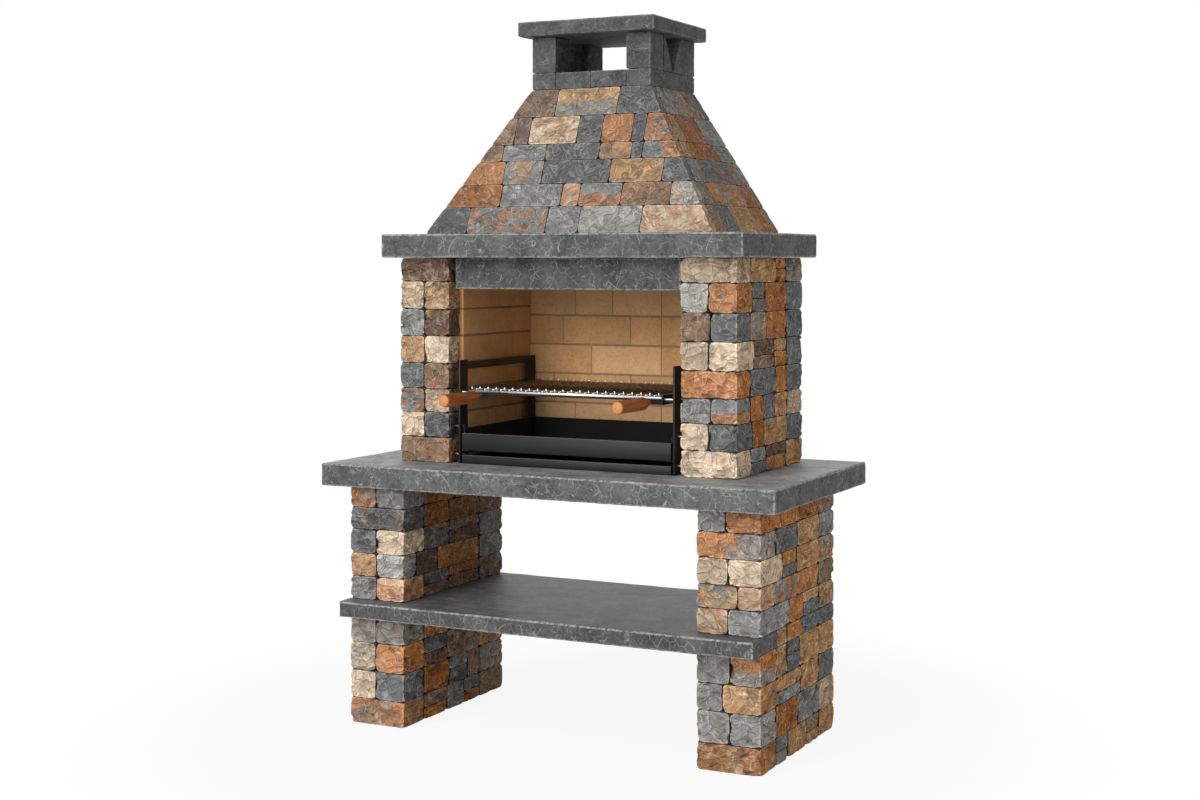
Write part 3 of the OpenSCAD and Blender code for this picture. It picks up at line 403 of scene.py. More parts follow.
    # Painted shade in the lees and in the joints between stones
    for darker in (add_node(tree, "MapRange", (painted_lee_shade, 0, 1, 1.0, 0.56)),
                   add_node(tree, "MapRange", (rim_wear_light_and_shade, -0.9, -0.1, 0.28, 1.0))):
        aged_and_painted_light = add_node(tree, "Mix", (1.0, aged_and_painted_light, darker), data_type="RGBA", blend_type="MULTIPLY")
    dull = add_node(tree, "MapRange", (grain, 0, 1, rough + 0.1, rough - 0.12))
    height = add_node(tree, "Math", heights, operation="ADD")
    height = add_node(tree, "Math", (height, calm), operation="MULTIPLY")
    for part, rise in ((grain, 0.0042), (painted_lee_shade, -0.0014), (crest_highlight, 0.0010)):
        height = add_node(tree, "Math", (part, rise * bump, height), operation="MULTIPLY_ADD")
    close_finish(tree, shader, height, {"Base Color": aged_and_painted_light, "Roughness": dull, "Specular IOR Level": 0.35})
    return finish


def read_course(node, words, dice, drop_below=None):
    """The solids of one course in laying order, each with its paint: front, then sides from front to back"""
    solids = solids_of(node)
    if drop_below is not None:
        solids = [s for s in solids if s[2] > drop_below]
    solids.sort(key=lambda s: (round(s[0][2], 2), round(s[0][0], 2), -s[2]))
    words = words.split()
    return [(s, read_paint(words[k] if k < len(words) else dice.choice(SPARE_WORDS), dice))
            for k, s in enumerate(solids)]


split_stone = stone_finish("Tumbled split limestone", 0.86, 1.07, 0.06, 0.040, 1.8, 1.0, 0.0019)
shelf_low, shelf_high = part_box("shelf_slab")
# The tilts of the flake scars follow this state, which Blender otherwise takes from the clock
noise.seed_set(1)
for side, table in (("right", LEG_RIGHT), ("left", LEG_LEFT)):
    for number, words in enumerate(table, 1):
        node = f"{side}_leg_course_{number}"
        dice = random.Random(node)
        course = new_course()
        # The fifth course also holds the low stones beside the shelf
        beside_shelf = shelf_high.z - 0.002 if number == 5 else None
        stones = read_course(node, words, dice, beside_shelf)
        laid = [solid for solid, paint in stones]
        for solid, paint in stones:
            lay_stone(course, solid, laid, paint, dice, **TUMBLED)
        if number == 5:
            low_ones = sorted([s for s in solids_of(node) if s[2] <= beside_shelf], key=lambda s: s[0][2])
            for solid, word in zip(low_ones, SHELF_STONES.split()):
                lay_stone(course, solid, low_ones, read_paint(word, dice), dice, **BESIDE_SHELF)
        finish_piece(course, f"{side}_leg_stones_{number}", split_stone, "leg_stone", "masonry", node)


# Shelf and worktop
# Cast slabs with the look of grey slate, their front edges left as if snapped from the sheet. The shelf is
# built into the legs behind its full-width front, and the worktop lies loose on top of them.
SLATE = {"body": "#676868", "shadow": "#3f4041", "vein": "#a9a9a6", "arris": "#b4b4b1"}


def slab_piece(node, name, finish, slot, step=0.022, wander=0.0011):
    """A slab from its CAD solid: cut into a net of faces, then its faces and arrises made slightly uneven"""
    bm = cad_mesh(node)
    low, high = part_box(node)
    for axis in range(3):
        cuts = max(2, round((high[axis] - low[axis]) / step))
        way = Vector([1.0 if k == axis else 0.0 for k in range(3)])
        for k in range(1, cuts):
            bmesh.ops.bisect_plane(bm, geom=bm.verts[:] + bm.edges[:] + bm.faces[:], dist=1e-5,
                                   plane_co=low + (high - low) * k / cuts, plane_no=way)
    bm.normal_update()
    # Slow dips about 110 mm long everywhere, and chips about 18 mm long along the arrises
    for v in bm.verts:
        faces = [f.normal for f in v.link_faces]
        arris = any(faces[0].dot(n) < 0.9 for n in faces[1:])
        slow = noise.noise(v.co * 9)
        worn = 0.9 + slow + noise.noise(v.co * 55) if arris else 0.35 * (1 + slow)
        v.co -= v.normal * wander * max(0.0, worn)
    bmesh.ops.recalc_face_normals(bm, faces=bm.faces)
    piece = finish_piece(bm, name, finish, slot, "masonry", node)
    piece.data.set_sharp_from_angle(angle=math.radians(28))


def slate_finish(name, level, top_sheen, top_gloss, veins, chipped):
    """Grey slate look: fine-grained, thin broken pale scratches, chipped arrises, a smoother streaked top painted
    lighter by top_sheen as a painted sheen
    """
    finish, tree, shader = new_finish(name)
    place = add_node(tree, "TexCoord").outputs["Object"]
    face = add_node(tree, "NewGeometry").outputs["True Normal"]
    around = add_node(tree, "VectorMath", (face,), operation="ABSOLUTE")
    x, y, z = add_node(tree, "SeparateXYZ", (around,)).outputs
    widest = add_node(tree, "Math", (x, y), operation="MAXIMUM")
    widest = add_node(tree, "Math", (widest, z), operation="MAXIMUM")
    arris = add_node(tree, "MapRange", (widest, 0.8, 0.95, 1.0, 0.0))
    flat = add_node(tree, "MapRange", (z, 0.9, 0.97))
    # Clouds about 70 mm across, very faint, and a grain down to 3 mm
    slow = add_node(tree, "TexNoise", {"Vector": place, "Scale": 15, "Detail": 4, "Roughness": 0.55})
    cloud = add_node(tree, "TexNoise", {"Vector": place, "Scale": 80, "Detail": 6, "Roughness": 0.72,
                                        "Distortion": 0.6})
    tones = add_node(tree, "Math", (slow, 0.9, cloud), operation="MULTIPLY_ADD")
    shade = add_node(tree, "MapRange", (tones, 0.75, 1.15))
    shadow, pale = [[c * level for c in linear(SLATE[part])] for part in ("shadow", "body")]
    body = add_node(tree, "Mix", (shade, shadow, pale), data_type="RGBA")
    # Scratches: the borders of warped cells 20 to 90 mm across, kept only here and there
    bent = warp(tree, place, 12, 0.06)
    parts = []
    for scale, width, low, high in ((11, 0.014, 0.47, 0.62), (24, 0.028, 0.49, 0.66), (52, 0.06, 0.50, 0.68)):
        border = add_node(tree, "TexVoronoi", {"Vector": bent, "Scale": scale}, feature="DISTANCE_TO_EDGE")
        line = add_node(tree, "MapRange", (border, 0.0, width, 1.0, 0.0))
        where = add_node(tree, "TexNoise", {"Vector": place, "Scale": scale * 1.3, "Detail": 2})
        kept = add_node(tree, "MapRange", (where, low, high))
        parts.append(add_node(tree, "Math", (line, kept), operation="MULTIPLY"))
    scratch = add_node(tree, "Math", parts[:2], operation="MAXIMUM")
    scratch = add_node(tree, "Math", (scratch, parts[2]), operation="MAXIMUM")
    spared = add_node(tree, "MapRange", (flat, 0, 1, veins, 0.4 * veins))
    strength = add_node(tree, "Math", (scratch, spared), operation="MULTIPLY")
    veined = add_node(tree, "Mix", (strength, body, linear(SLATE["vein"])), data_type="RGBA")
    # Broad streaks along the smooth top, which keeps few of the scratches; top_sheen paints the whole top lighter, a
    # painted sheen
    long_way = add_node(tree, "VectorMath", (place, (0.16, 1.0, 1.0)), operation="MULTIPLY")
    streak = add_node(tree, "TexNoise", {"Vector": long_way, "Scale": 30, "Detail": 6, "Roughness": 0.65})
    streaks_and_sheen = add_node(tree, "MapRange", (streak, 0.32, 0.68, 0.6 * top_sheen, 1.48 * top_sheen))
    smooth = add_node(tree, "Mix", (flat, veined, streaks_and_sheen), data_type="RGBA", blend_type="MULTIPLY")
    chips = add_node(tree, "MapRange", (cloud, 0.42, 0.56, 0.1 * chipped, chipped))
    worn = add_node(tree, "Math", (arris, chips), operation="MULTIPLY")
    edged = add_node(tree, "Mix", (worn, smooth, linear(SLATE["arris"])), data_type="RGBA")
    gloss = add_node(tree, "MapRange", (flat, 0, 1, 0.72, top_gloss))
    gloss = add_node(tree, "Math", (streak, 0.25, gloss), operation="MULTIPLY_ADD")
    height = add_node(tree, "MapRange", (flat, 0, 1, 0.0042, 0.0007))
    rise = add_node(tree, "Math", (cloud, height), operation="MULTIPLY")
    close_finish(tree, shader, rise, {"Base Color": edged, "Roughness": gloss, "Specular IOR Level": 0.35})
    return finish


# The same slate at two levels: the shelf and lintel, which lie under the worktop and mantel, take the darker one,
# painted shade; the worktop and mantel take the lighter one, whose tops are painted much lighter still, a painted
# sheen
slate = slate_finish("Snapped slate slab", 0.90, 1.18, 0.45, 0.8, 0.95)
sheened_slate = slate_finish("Slate slab with a painted sheen on top", 1.16, 2.1, 0.45, 0.95, 0.95)
slab_piece("shelf_slab", "shelf", slate, "slate")
slab_piece("worktop_slab", "worktop", sheened_slate, "slate")


# Pillar stones
# The same tumbled stone, eight courses a side. Some courses start with one long stone that turns the
# corner behind the hearth mouth, the others with two short ones.
PILLAR_RIGHT = [
    "cream grey dark umber orange tan",
    "cream dark rust tan dark",
    "grey grey^orange orange dark tan beige/tan",
    "orange/rust dark/grey orange dark",
    "beige/brown cream umber brown tan orange dark",
    "brown/tan dark tan/grey orange dark",
    "ash orange dark dark/brown rust/orange dark",
    "beige/brown tan orange rust grey/brown",
]
PILLAR_LEFT = [
    "brown/rust grey tan dark orange grey",
    "cream dark rust tan grey cream",
    "grey/rust beige dark orange grey brown",
    "dark/grey brown/rust tan dark beige",
    "tan/orange cream grey orange dark rust",
    "grey umber/rust orange tan dark grey",
    "beige/tan tan/beige dark cream rust grey",
    "umber/brown grey tan orange dark",
]
LONG_STONE = 0.15
lining_low, lining_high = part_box("right_lining")
for side, table in (("right", PILLAR_RIGHT), ("left", PILLAR_LEFT)):
    for number, words in enumerate(table, 1):
        node = f"{side}_pillar_course_{number}"
        dice = random.Random(node)
        course = new_course()
        stones = read_course(node, words, dice)
        laid = [solid for solid, paint in stones]
        for solid, paint in stones:
            behind_mouth = (lining_high.x, lining_low.y) if solid[0][1] - solid[0][0] > LONG_STONE else None
            lay_stone(course, solid, laid, paint, dice, **TUMBLED, notch=behind_mouth)
        finish_piece(course, f"{side}_pillar_stones_{number}", split_stone, "pillar_stone", "masonry", node)


# Hearth linings and back wall
# Pressed fireclay bricks, sandy and dead flat, bedded in refractory mortar that has dried grey-brown. The
# mortar is struck just below the brick faces.
# The side linings take their own lighter, more saturated copy of the fireclay colour: painted light and shade for
# the sides of the hearth
STONE.update({"fireclay": "#d7a572", "pale fireclay": "#dfb180", "fired": "#e9b47b", "pale fired": "#edbd86"})
for one, two in (("fireclay", "pale fireclay"), ("fired", "pale fired")):
    NEIGHBOUR.update({one: two, two: one})
PRESSED = {"edge": 0.0015, "corner": 0.002, "step": 0.08, "split": 0.05, "strikes": 0}
STRUCK = {"edge": 0.001, "corner": 0.001, "step": 0.05, "split": 0.2, "strikes": 0}
HALF_JOINT, HALF_BED = 0.0010, 0.0030
# How far the mortar stands back from the brick faces, and from the ends of the wall
STRUCK_BY, SHORT_BY = 0.0014, 0.0030


def gritty_finish(name, scale, detail, dark, pale, height):
    """A dull gritty finish between two colours, for mortar and rough concrete"""
    finish, tree, shader = new_finish(name)
    place = add_node(tree, "TexCoord").outputs["Object"]
    grit = add_node(tree, "TexNoise", {"Vector": place, "Scale": scale, "Detail": detail, "Roughness": 0.7})
    body = add_node(tree, "Mix", (grit, linear(dark), linear(pale)), data_type="RGBA")
    rise = add_node(tree, "Math", (grit, height), operation="MULTIPLY")
    close_finish(tree, shader, rise, {"Base Color": body, "Roughness": 0.95})
    return finish


def bricks_of(node, axis, side):
    """The hearth-side faces of a lining's bricks, from the middle of one joint to the middle of the next"""
    bm = cad_mesh(node)
    low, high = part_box(node)
    plane = high[axis] if side > 0 else low[axis]
    to_middle = 0.002
    found = []
    for f in bm.faces:
        if f.normal[axis] * side > 0.99 and abs(f.verts[0].co[axis] - plane) < 5e-4:
            across = [v.co[1 - axis] for v in f.verts]
            up = [v.co.z for v in f.verts]
            found.append((min(across) - to_middle, max(across) + to_middle,
                          min(up) - to_middle, max(up) + to_middle))
    bm.free()
    return found


# Fireclay is a nearly even sandy buff, with faint clouds and dark specks of grog
fireclay, tree, shader = new_finish("Pressed fireclay")
place = add_node(tree, "TexCoord").outputs["Object"]
tone = add_node(tree, "Attribute", attribute_name="tone")
cloud = add_node(tree, "TexNoise", {"Vector": place, "Scale": 14, "Detail": 6, "Roughness": 0.6})
clouds = add_node(tree, "MapRange", (cloud, 0.3, 0.7, 0.84, 1.02))
grog = add_node(tree, "TexNoise", {"Vector": place, "Scale": 190, "Detail": 2, "Roughness": 0.6})
specks = add_node(tree, "MapRange", (grog, 0.3, 0.5, 0.8, 1.03))
light = add_node(tree, "Math", (clouds, specks), operation="MULTIPLY")
body = add_node(tree, "Mix", (1.0, tone, light), data_type="RGBA", blend_type="MULTIPLY")
rise = add_node(tree, "Math", (grog, 0.0007), operation="MULTIPLY")
close_finish(tree, shader, rise, {"Base Color": body, "Roughness": 0.92, "Specular IOR Level": 0.25})

mortar = gritty_finish("Refractory mortar", 120, 4, "#84694f", "#ad9072", 0.0015)
for node, axis, side in (("right_lining", 0, -1), ("left_lining", 0, 1), ("back_wall", 1, -1)):
    dice = random.Random(node)
    bricks = new_course()
    low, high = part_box(node)
    for a, b, z0, z1 in bricks_of(node, axis, side):
        a, b, z0, z1 = a + HALF_JOINT, b - HALF_JOINT, z0 + HALF_BED, z1 - HALF_BED
        plan = (low.x, high.x, a, b) if axis == 0 else (a, b, low.y, high.y)
        # Side linings take the lighter, more saturated copy: painted light and shade
        word = dice.choice(("fired", "pale fired") if axis == 0 else ("fireclay", "pale fireclay"))
        lay_stone(bricks, (plan, plan, z0, z1), [], read_paint(word, dice), dice, **PRESSED)
    finish_piece(bricks, f"{node}_bricks", fireclay, "firebrick", "masonry", node)
    bed = new_course()
    inset = Vector((STRUCK_BY, SHORT_BY, 0.0) if axis == 0 else (SHORT_BY, STRUCK_BY, 0.0))
    low, high = low + inset, high - inset
    plan = (low.x, high.x, low.y, high.y)
    lay_stone(bed, (plan, plan, low.z, high.z), [], read_paint("fireclay", dice), dice, **STRUCK)
    finish_piece(bed, f"{node}_mortar", mortar, "firebrick", "masonry")


# Lintel and mantel
# Two more slate-look slabs. The lintel closes the top of the hearth a little behind the pillar faces, and
# the mantel lies over everything and carries the hood.
# The lintel takes the darker slate, painted shade; the mantel takes the lighter one with its painted sheen on top
slab_piece("lintel", "lintel_stone", slate, "slate", wander=0.0010)
slab_piece("mantel_slab", "mantel", sheened_slate, "slate")


# Hood
# Six rows of thin sawn and tumbled facing stones on a tapered shell of cast concrete. They lie flatter and
# closer than the stones of the pillars, and every row is cut back to the slope.
HOOD_FRONT = [
    "dark grey/orange grey ash pink/cream",
    "rust/orange grey pink grey^orange brown/orange ash/orange",
    "orange/rust grey/tan dark tan/orange dark",
    "brown/tan grey dark tan/brown dark grey>orange",
    "brown/tan dark/brown cream/tan dark orange/brown dark orange/grey",
    "brown/grey tan^grey dark",
]
HOOD_RIGHT = [
    "brown dark tan rust/tan",
    "brown/grey orange/grey rust",
    "grey dark/rust brown/grey",
    "tan/brown rust grey",
    "tan/grey rust/dark grey",
    "grey grey/tan brown/grey",
]
HOOD_OTHER = ["grey", "tan", "dark", "orange", "brown", "dark/grey", "brown/grey", "rust", "grey/orange"]
FACING = {"edge": 0.0030, "corner": 0.0075, "step": 0.0068, "split": 0.3, "strikes": 0}
IN_LINE = 0.004

# The facing stones take a lower level than the split stone, 0.82 against 1.07: painted shade on the hood
hood_stone = stone_finish("Sawn and tumbled facing stone", 0.84, 0.82, 0.07, 0.036, 2.6, 0.7, 0.0018)
for number in range(1, 7):
    node = f"hood_course_{number}"
    dice = random.Random(node)
    course = new_course()
    solids = solids_of(node)
    face_y, back_y = min(s[0][2] for s in solids), max(s[0][3] for s in solids)
    front = sorted([s for s in solids if s[0][2] < face_y + IN_LINE], key=lambda s: s[0][0])
    back = [s for s in solids if s[0][3] > back_y - IN_LINE]
    between = [s for s in solids if s not in front and s not in back]
    right = sorted([s for s in between if s[0][0] > 0], key=lambda s: s[0][2])
    left = [s for s in between if s[0][0] < 0]
    laid = list(zip(front, HOOD_FRONT[number - 1].split())) + list(zip(right, HOOD_RIGHT[number - 1].split()))
    laid += [(s, dice.choice(HOOD_OTHER)) for s in back + left]
    for solid, word in laid:
        lay_stone(course, solid, solids, read_paint(word, dice), dice, **FACING)
    finish_piece(course, f"hood_stones_{number}", hood_stone, "hood_stone", "masonry", node)


def coat(node, finish):
    """Gives a CAD node its finish"""
    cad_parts[node].data.materials.clear()
    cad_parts[node].data.materials.append(finish)


# The shell is rough and dull, stained grey-brown by smoke
coat("hood_shell", gritty_finish("Cast refractory concrete", 60, 7, "#4a443d", "#8c8478", 0.002))


# Chimney
# A ring of slate-look blocks, four corner posts with slanted panels between them at the sides, and a cap
# slab that keeps the rain out.
chimney_slate = slate_finish("Slate chimney block", 0.95, 1.0, 0.6, 0.45, 0.35)
slab_piece("chimney_base", "chimney_ring", chimney_slate, "chimney_slate", 0.03, 0.0009)
slab_piece("chimney_posts", "chimney_corner_posts", chimney_slate, "chimney_slate", 0.03, 0.0009)
slab_piece("chimney_side_panels", "chimney_slanted_panels", chimney_slate, "chimney_slate", 0.03, 0.0006)
slab_piece("cap_slab", "chimney_cap", chimney_slate, "chimney_slate")


# Steel frame
# Flat mild-steel bar, welded, sanded at the edges and sprayed with black heat-proof paint. Lugs with
# round-headed screws hold its front uprights to the pillars.
def sheet_piece(node, name, finish, slot, body, edge):
    """A steel piece from its CAD solid, its edges broken so that they catch the light"""
    bm = cad_mesh(node)
    corners = [e for e in bm.edges if len(e.link_faces) == 2 and e.calc_face_angle(0) > math.radians(40)]
    bmesh.ops.bevel(bm, geom=corners, offset=edge, segments=2, profile=0.5, affect="EDGES", material=-1,
                    clamp_overlap=True)
    piece = finish_piece(bm, name, finish, slot, body, node)
    piece.data.set_sharp_from_angle(angle=math.radians(50))


def paint_finish(name, colour, dusty, rough, rub, gleam, soot_and_shade_from=9.0):
    """Matt spray paint on steel: orange peel, greyer where rubbed, pale on its ledges from ash and a painted
    highlight, near-black beyond a plane from soot and painted shade
    """
    finish, tree, shader = new_finish(name)
    place = add_node(tree, "TexCoord").outputs["Object"]
    dust = add_node(tree, "TexNoise", {"Vector": place, "Scale": 8, "Detail": 6, "Roughness": 0.65})
    face = add_node(tree, "SeparateXYZ", (add_node(tree, "NewGeometry").outputs["True Normal"],))
    spot = add_node(tree, "SeparateXYZ", (place,))
    amount = add_node(tree, "MapRange", (dust, 0.4, 0.75, 0.0, rub))
    # Upward faces painted pale: ash, and a painted highlight along lips and top edges
    ledge_ash_and_highlight = add_node(tree, "MapRange", (face.outputs["Z"], 0.3, 0.8, 0.0, 0.55))
    # Near-black beyond the plane: soot, and painted shade inside the pan
    soot_and_shade = add_node(tree, "MapRange", (spot.outputs["Y"], soot_and_shade_from, soot_and_shade_from + 0.003, 0.0, 0.9))
    body = linear(colour)
    for cover, tint in ((amount, dusty), (ledge_ash_and_highlight, "#a5a29d"), (soot_and_shade, "#0b0a09")):
        body = add_node(tree, "Mix", (cover, body, linear(tint)), data_type="RGBA")
    peel = add_node(tree, "TexNoise", {"Vector": place, "Scale": 420, "Detail": 2})
    dull = add_node(tree, "MapRange", (dust, 0, 1, rough - 0.05, rough + 0.18))
    dull = add_node(tree, "Math", (soot_and_shade, 0.4, dull), operation="MULTIPLY_ADD")
    rise = add_node(tree, "Math", (peel, 0.00012), operation="MULTIPLY")
    close_finish(tree, shader, rise, {"Base Color": body, "Roughness": dull, "Specular IOR Level": gleam})
    return finish


black_paint = paint_finish("Black heat-proof paint on steel", "#0d0d0e", "#232220", 0.42, 0.4, 0.3)
sheet_piece("steel_frame", "side_frames", black_paint, "black_steel", "masonry", 0.0006)

# Zinc plating has a soft grey shine, uneven in gloss
screw_steel, tree, shader = new_finish("Zinc-plated screw steel")
place = add_node(tree, "TexCoord").outputs["Object"]
film = add_node(tree, "TexNoise", {"Vector": place, "Scale": 300, "Detail": 3})
dull = add_node(tree, "MapRange", (film, 0, 1, 0.25, 0.5))
fill(tree, shader, {"Base Color": linear("#9a9a98"), "Metallic": 1.0, "Roughness": dull})
coat("frame_fixings", screw_steel)


# Charcoal tray and ash drawer
# Folded from 2.5 mm sheet, with a lip turned back along the top of each front, then sprayed dark grey.
pan_low, pan_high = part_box("charcoal_tray")
# Everything behind the front plate and its lip is painted near-black: soot, and painted shade for the inside of the
# pan
LIP_DEPTH = 0.011
tray_paint = paint_finish("Dark grey paint on folded sheet", "#171718", "#232221", 0.4, 0.35, 0.26,
                          pan_low.y + LIP_DEPTH)
sheet_piece("charcoal_tray", "charcoal_pan_sheet", tray_paint, "tray_steel", "charcoal_pan", 0.0008)
sheet_piece("ash_drawer", "ash_pan_sheet", tray_paint, "tray_steel", "ash_pan", 0.0008)


# Grill
# Drawn wire, spot-welded to two round rails and two cross rods and then nickel-chrome plated. Every second
# wire is turned up at the front and back, so that nothing rolls off.
grate_low, grate_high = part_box("grill_grate")
# The plating is bright, and a little hazy where it has been handled
chrome, tree, shader = new_finish("Chrome-plated wire")
place = add_node(tree, "TexCoord").outputs["Object"]
handled = add_node(tree, "TexNoise", {"Vector": place, "Scale": 35, "Detail": 4})
film = add_node(tree, "MapRange", (handled, 0, 1, 0.16, 0.4))
# Between the front and back rails the plating is darkened to a dull grey-brown
spot = add_node(tree, "SeparateXYZ", (place,)).outputs["Y"]
inward = add_node(tree, "MapRange", (spot, grate_low.y + 0.012, grate_low.y + 0.04))
outward = add_node(tree, "MapRange", (spot, grate_high.y - 0.03, grate_high.y - 0.008, 1.0, 0.0))
darkened_middle = add_node(tree, "Math", (inward, outward), operation="MULTIPLY")
tint = add_node(tree, "Mix", (darkened_middle, linear("#ececec"), linear("#5f5851")), data_type="RGBA")
fill(tree, shader, {"Base Color": tint, "Metallic": 1.0, "Roughness": film})


def bend_rods(paths, name):
    """Round rods that follow their points, as one mesh; paths is a list of (points, radius)"""
    line = bpy.data.curves.new(name, "CURVE")
    line.dimensions = "3D"
    line.bevel_depth = 1.0
    line.bevel_resolution = 3
    line.use_fill_caps = True
    for points, radius in paths:
        spline = line.splines.new("POLY")
        spline.points.add(len(points) - 1)
        for point, co in zip(spline.points, points):
            point.co = (*co, 1)
            point.radius = radius
    holder = bpy.data.objects.new(name, line)
    bpy.context.scene.collection.objects.link(holder)
    bpy.context.view_layer.update()
    made = bpy.data.meshes.new_from_object(holder.evaluated_get(bpy.context.evaluated_depsgraph_get()))
    bpy.data.objects.remove(holder)
    bm = bmesh.new()
    bm.from_mesh(made)
    bmesh.ops.remove_doubles(bm, verts=bm.verts, dist=1e-6)
    bmesh.ops.recalc_face_normals(bm, faces=bm.faces)
    return bm


RAIL_RADIUS, ROD_RADIUS, WIRE_RADIUS, BEND = 0.00475, 0.003, 0.0017, 0.0026
# The wires are welded 0.2 mm into the rails and the cross rods under them
WIRE_ABOVE_RAIL, ROD_BELOW_WIRE = 0.00625, 0.0045
WIRES, END_MARGIN = 45, 0.009
FRONT_OVERHANG, BACK_OVERHANG, STRAIGHT_OVERHANG = 0.0010, 0.0020, 0.003
FRONT_TIP, BACK_TIP = 0.0078, 0.0070
rail_z = grate_low.z + RAIL_RADIUS
front_y, back_y = grate_low.y + 0.00566, grate_high.y - RAIL_RADIUS
wire_z = rail_z + WIRE_ABOVE_RAIL
rods = [([(grate_low.x, y, rail_z), (grate_high.x, y, rail_z)], RAIL_RADIUS) for y in (front_y, back_y)]
for k in (1, 2):
    y = front_y + (back_y - front_y) * k / 3
    rods.append(([(x, y, wire_z - ROD_BELOW_WIRE) for x in (grate_low.x, grate_high.x)], ROD_RADIUS))
gap = (grate_high.x - grate_low.x - 2 * END_MARGIN) / (WIRES - 1)
front_end, back_end = front_y - FRONT_OVERHANG, back_y + BACK_OVERHANG
turn = [(BEND * (1 - math.cos(t)), BEND * (1 - math.sin(t))) for t in (0, 0.52, 1.05, 1.57)]
for k in range(WIRES):
    x = grate_low.x + END_MARGIN + gap * k
    if k % 2 == 0:
        path = [(x, front_end, wire_z + FRONT_TIP)]
        path += [(x, front_end + dy, wire_z + dz) for dy, dz in turn]
        path += [(x, back_end - dy, wire_z + dz) for dy, dz in reversed(turn)]
        path += [(x, back_end, wire_z + BACK_TIP)]
    else:
        path = [(x, front_end, wire_z), (x, back_y + STRAIGHT_OVERHANG, wire_z)]
    rods.append((path, WIRE_RADIUS))
finish_piece(bend_rods(rods, "wires"), "grill_wires", chrome, "plated_wire", "grill", "grill_grate")
sheet_piece("grill_carrier", "grill_side_bars", black_paint, "black_steel", "grill", 0.0005)
coat("support_pins", chrome)


# Handles
# Turned from a reddish hardwood such as beech stained in oil, with long grain along the handle, and
# screwed to the carrier through a slim tapered neck.
handle_low, handle_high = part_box("grill_handles")
radius = (handle_high.z - handle_low.z) / 2
handle_z = (handle_high.z + handle_low.z) / 2
length = handle_high.y - handle_low.y
# Share of the radius and distance from the free end, for a handle of PROFILE_LENGTH
PROFILE = [
    (0.0, 0.0), (0.78, 0.0), (0.90, 0.0012), (0.97, 0.0032), (1.0, 0.006), (0.99, 0.05), (0.985, 0.09),
    (0.995, 0.135), (1.0, 0.160), (0.97, 0.1660), (0.90, 0.1690), (0.80, 0.1735), (0.70, 0.178), (0.59, 0.184),
    (0.486, 0.1905), (0.41, 0.197), (0.35, 0.203), (0.315, 0.209), (0.297, 0.215), (0.27, 0.216), (0.0, 0.2160),
]
PROFILE_LENGTH = 0.216

# Fine dark grain about 4 mm wide, drawn out along the handle, on a red-brown body with a paler cut end
wood, tree, shader = new_finish("Oiled turned hardwood")
place = add_node(tree, "TexCoord").outputs["Object"]
along = add_node(tree, "VectorMath", (place, (1.0, 0.07, 1.0)), operation="MULTIPLY")
grain = add_node(tree, "TexNoise", {"Vector": along, "Scale": 260, "Detail": 4, "Roughness": 0.6, "Distortion": 0.3})
figure = add_node(tree, "TexNoise", {"Vector": along, "Scale": 55, "Detail": 3})
mixed = add_node(tree, "Math", (grain, 0.5, figure), operation="MULTIPLY_ADD")
amount = add_node(tree, "MapRange", (mixed, 0.6, 0.92))
body = add_node(tree, "Mix", (amount, linear("#7d3f17"), linear("#b96c33")), data_type="RGBA")
facing = add_node(tree, "SeparateXYZ", (add_node(tree, "NewGeometry").outputs["True Normal"],)).outputs["Y"]
cut_end = add_node(tree, "MapRange", (facing, -0.95, -0.75, 1.0, 0.0))
ended = add_node(tree, "Mix", (cut_end, body, linear("#cb8450")), data_type="RGBA")
rise = add_node(tree, "Math", (grain, 0.0003), operation="MULTIPLY")
close_finish(tree, shader, rise, {"Base Color": ended, "Roughness": 0.48})

handles = bmesh.new()
for x in (handle_low.x + radius, handle_high.x - radius):
    chain = [handles.verts.new((x, handle_low.y + y / PROFILE_LENGTH * length, handle_z + r * radius))
             for r, y in PROFILE]
    edges = [handles.edges.new(pair) for pair in zip(chain, chain[1:])]
    bmesh.ops.spin(handles, geom=chain + edges, cent=(x, 0, handle_z), axis=(0, 1, 0), angle=math.tau, steps=32,
                   use_merge=True)
bmesh.ops.remove_doubles(handles, verts=handles.verts, dist=1e-6)
bmesh.ops.recalc_face_normals(handles, faces=handles.faces)
turned = finish_piece(handles, "turned_handles", wood, "handle_wood", "grill", "grill_handles")
turned.data.set_sharp_from_angle(angle=math.radians(45))


# Studio
# A white floor that fades into the white surround, soft light from the front, the right, above and behind,
# and the camera at the photograph's place: level, with the frame shifted down.
def white_rays(tree):
    """1 for the rays that should meet plain white: from the camera, and by way of metal and glass"""
    ray = add_node(tree, "LightPath").outputs
    seen = ray["Is Camera Ray"]
    for name in ("Is Glossy Ray", "Is Transmission Ray"):
        seen = add_node(tree, "Math", (seen, ray[name]), operation="MAXIMUM")
    return seen


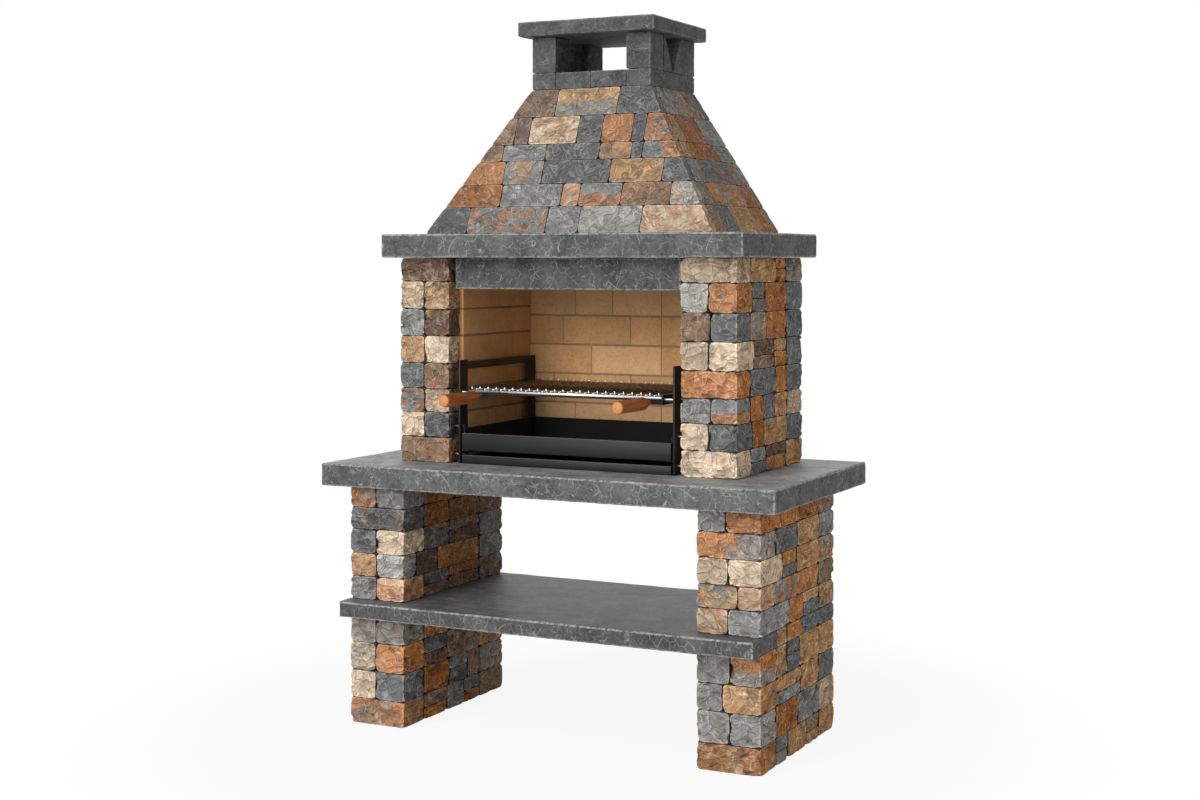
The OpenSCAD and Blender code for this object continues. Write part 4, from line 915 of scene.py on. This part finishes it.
floor_mesh = bmesh.new()
bmesh.ops.create_circle(floor_mesh, cap_ends=True, segments=96, radius=9.0)
floor_data = bpy.data.meshes.new("floor")
floor_mesh.to_mesh(floor_data)
floor_mesh.free()
floor = bpy.data.objects.new("floor", floor_data)
bpy.context.scene.collection.objects.link(floor)
paper, tree, shader = new_finish("White studio paper")
fill(tree, shader, {"Base Color": linear("#f4f4f4"), "Roughness": 1.0, "Specular IOR Level": 0.0})
place = add_node(tree, "TexCoord").outputs["Object"]
distance = add_node(tree, "VectorMath", (place,), operation="LENGTH")
fade = add_node(tree, "MapRange", (distance, 0.8, 1.9, 0.9, 1.0), interpolation_type="SMOOTHSTEP")
amount = add_node(tree, "Math", (white_rays(tree), fade), operation="MULTIPLY")
glow = add_node(tree, "Emission", ((1, 1, 1, 1), 1.0))
blend = add_node(tree, "MixShader", (amount, shader, glow))
fill(tree, tree.nodes["Material Output"], {"Surface": blend})
floor_data.materials.append(paper)

world = bpy.data.worlds.new("studio")
bpy.context.scene.world = world
world.use_nodes = True
tree = world.node_tree
strength = add_node(tree, "MapRange", (white_rays(tree), 0, 1, 0.17, 1.0))
fill(tree, tree.nodes["Background"], {"Color": (1, 1, 1, 1), "Strength": strength})

for name, strength, angle, way in (
        ("high key", 0.6, 30, (-0.25, -0.75, 0.9)), ("key", 1.15, 30, (-0.25, -0.9, 0.45)),
        ("low front", 1.36, 40, (-0.1, -1.0, 0.15)), ("fill", 0.48, 40, (1.0, -0.1, 0.3)),
        ("back", 0.5, 50, (-0.25, 1.0, 0.3))):
    sun = bpy.data.lights.new(name, "SUN")
    sun.energy = strength
    sun.angle = math.radians(angle)
    lamp = bpy.data.objects.new(name, sun)
    lamp.rotation_euler = Vector(way).to_track_quat("Z", "Y").to_euler()
    bpy.context.scene.collection.objects.link(lamp)

# The lens, place and turn were solved from the corners of the slabs, pillars, legs and chimney
lens = bpy.data.cameras.new("camera")
lens.sensor_width = 36
lens.lens = 54.293
lens.shift_y = -0.1172
lens.clip_end = 60
camera = bpy.data.objects.new("camera", lens)
camera.location = (2.4275, -4.8082, 1.3814)
camera.rotation_euler = (math.pi / 2, 0, math.radians(26.5367))
bpy.context.scene.collection.objects.link(camera)
bpy.context.scene.camera = camera
bpy.context.scene.view_settings.view_transform = "Standard"
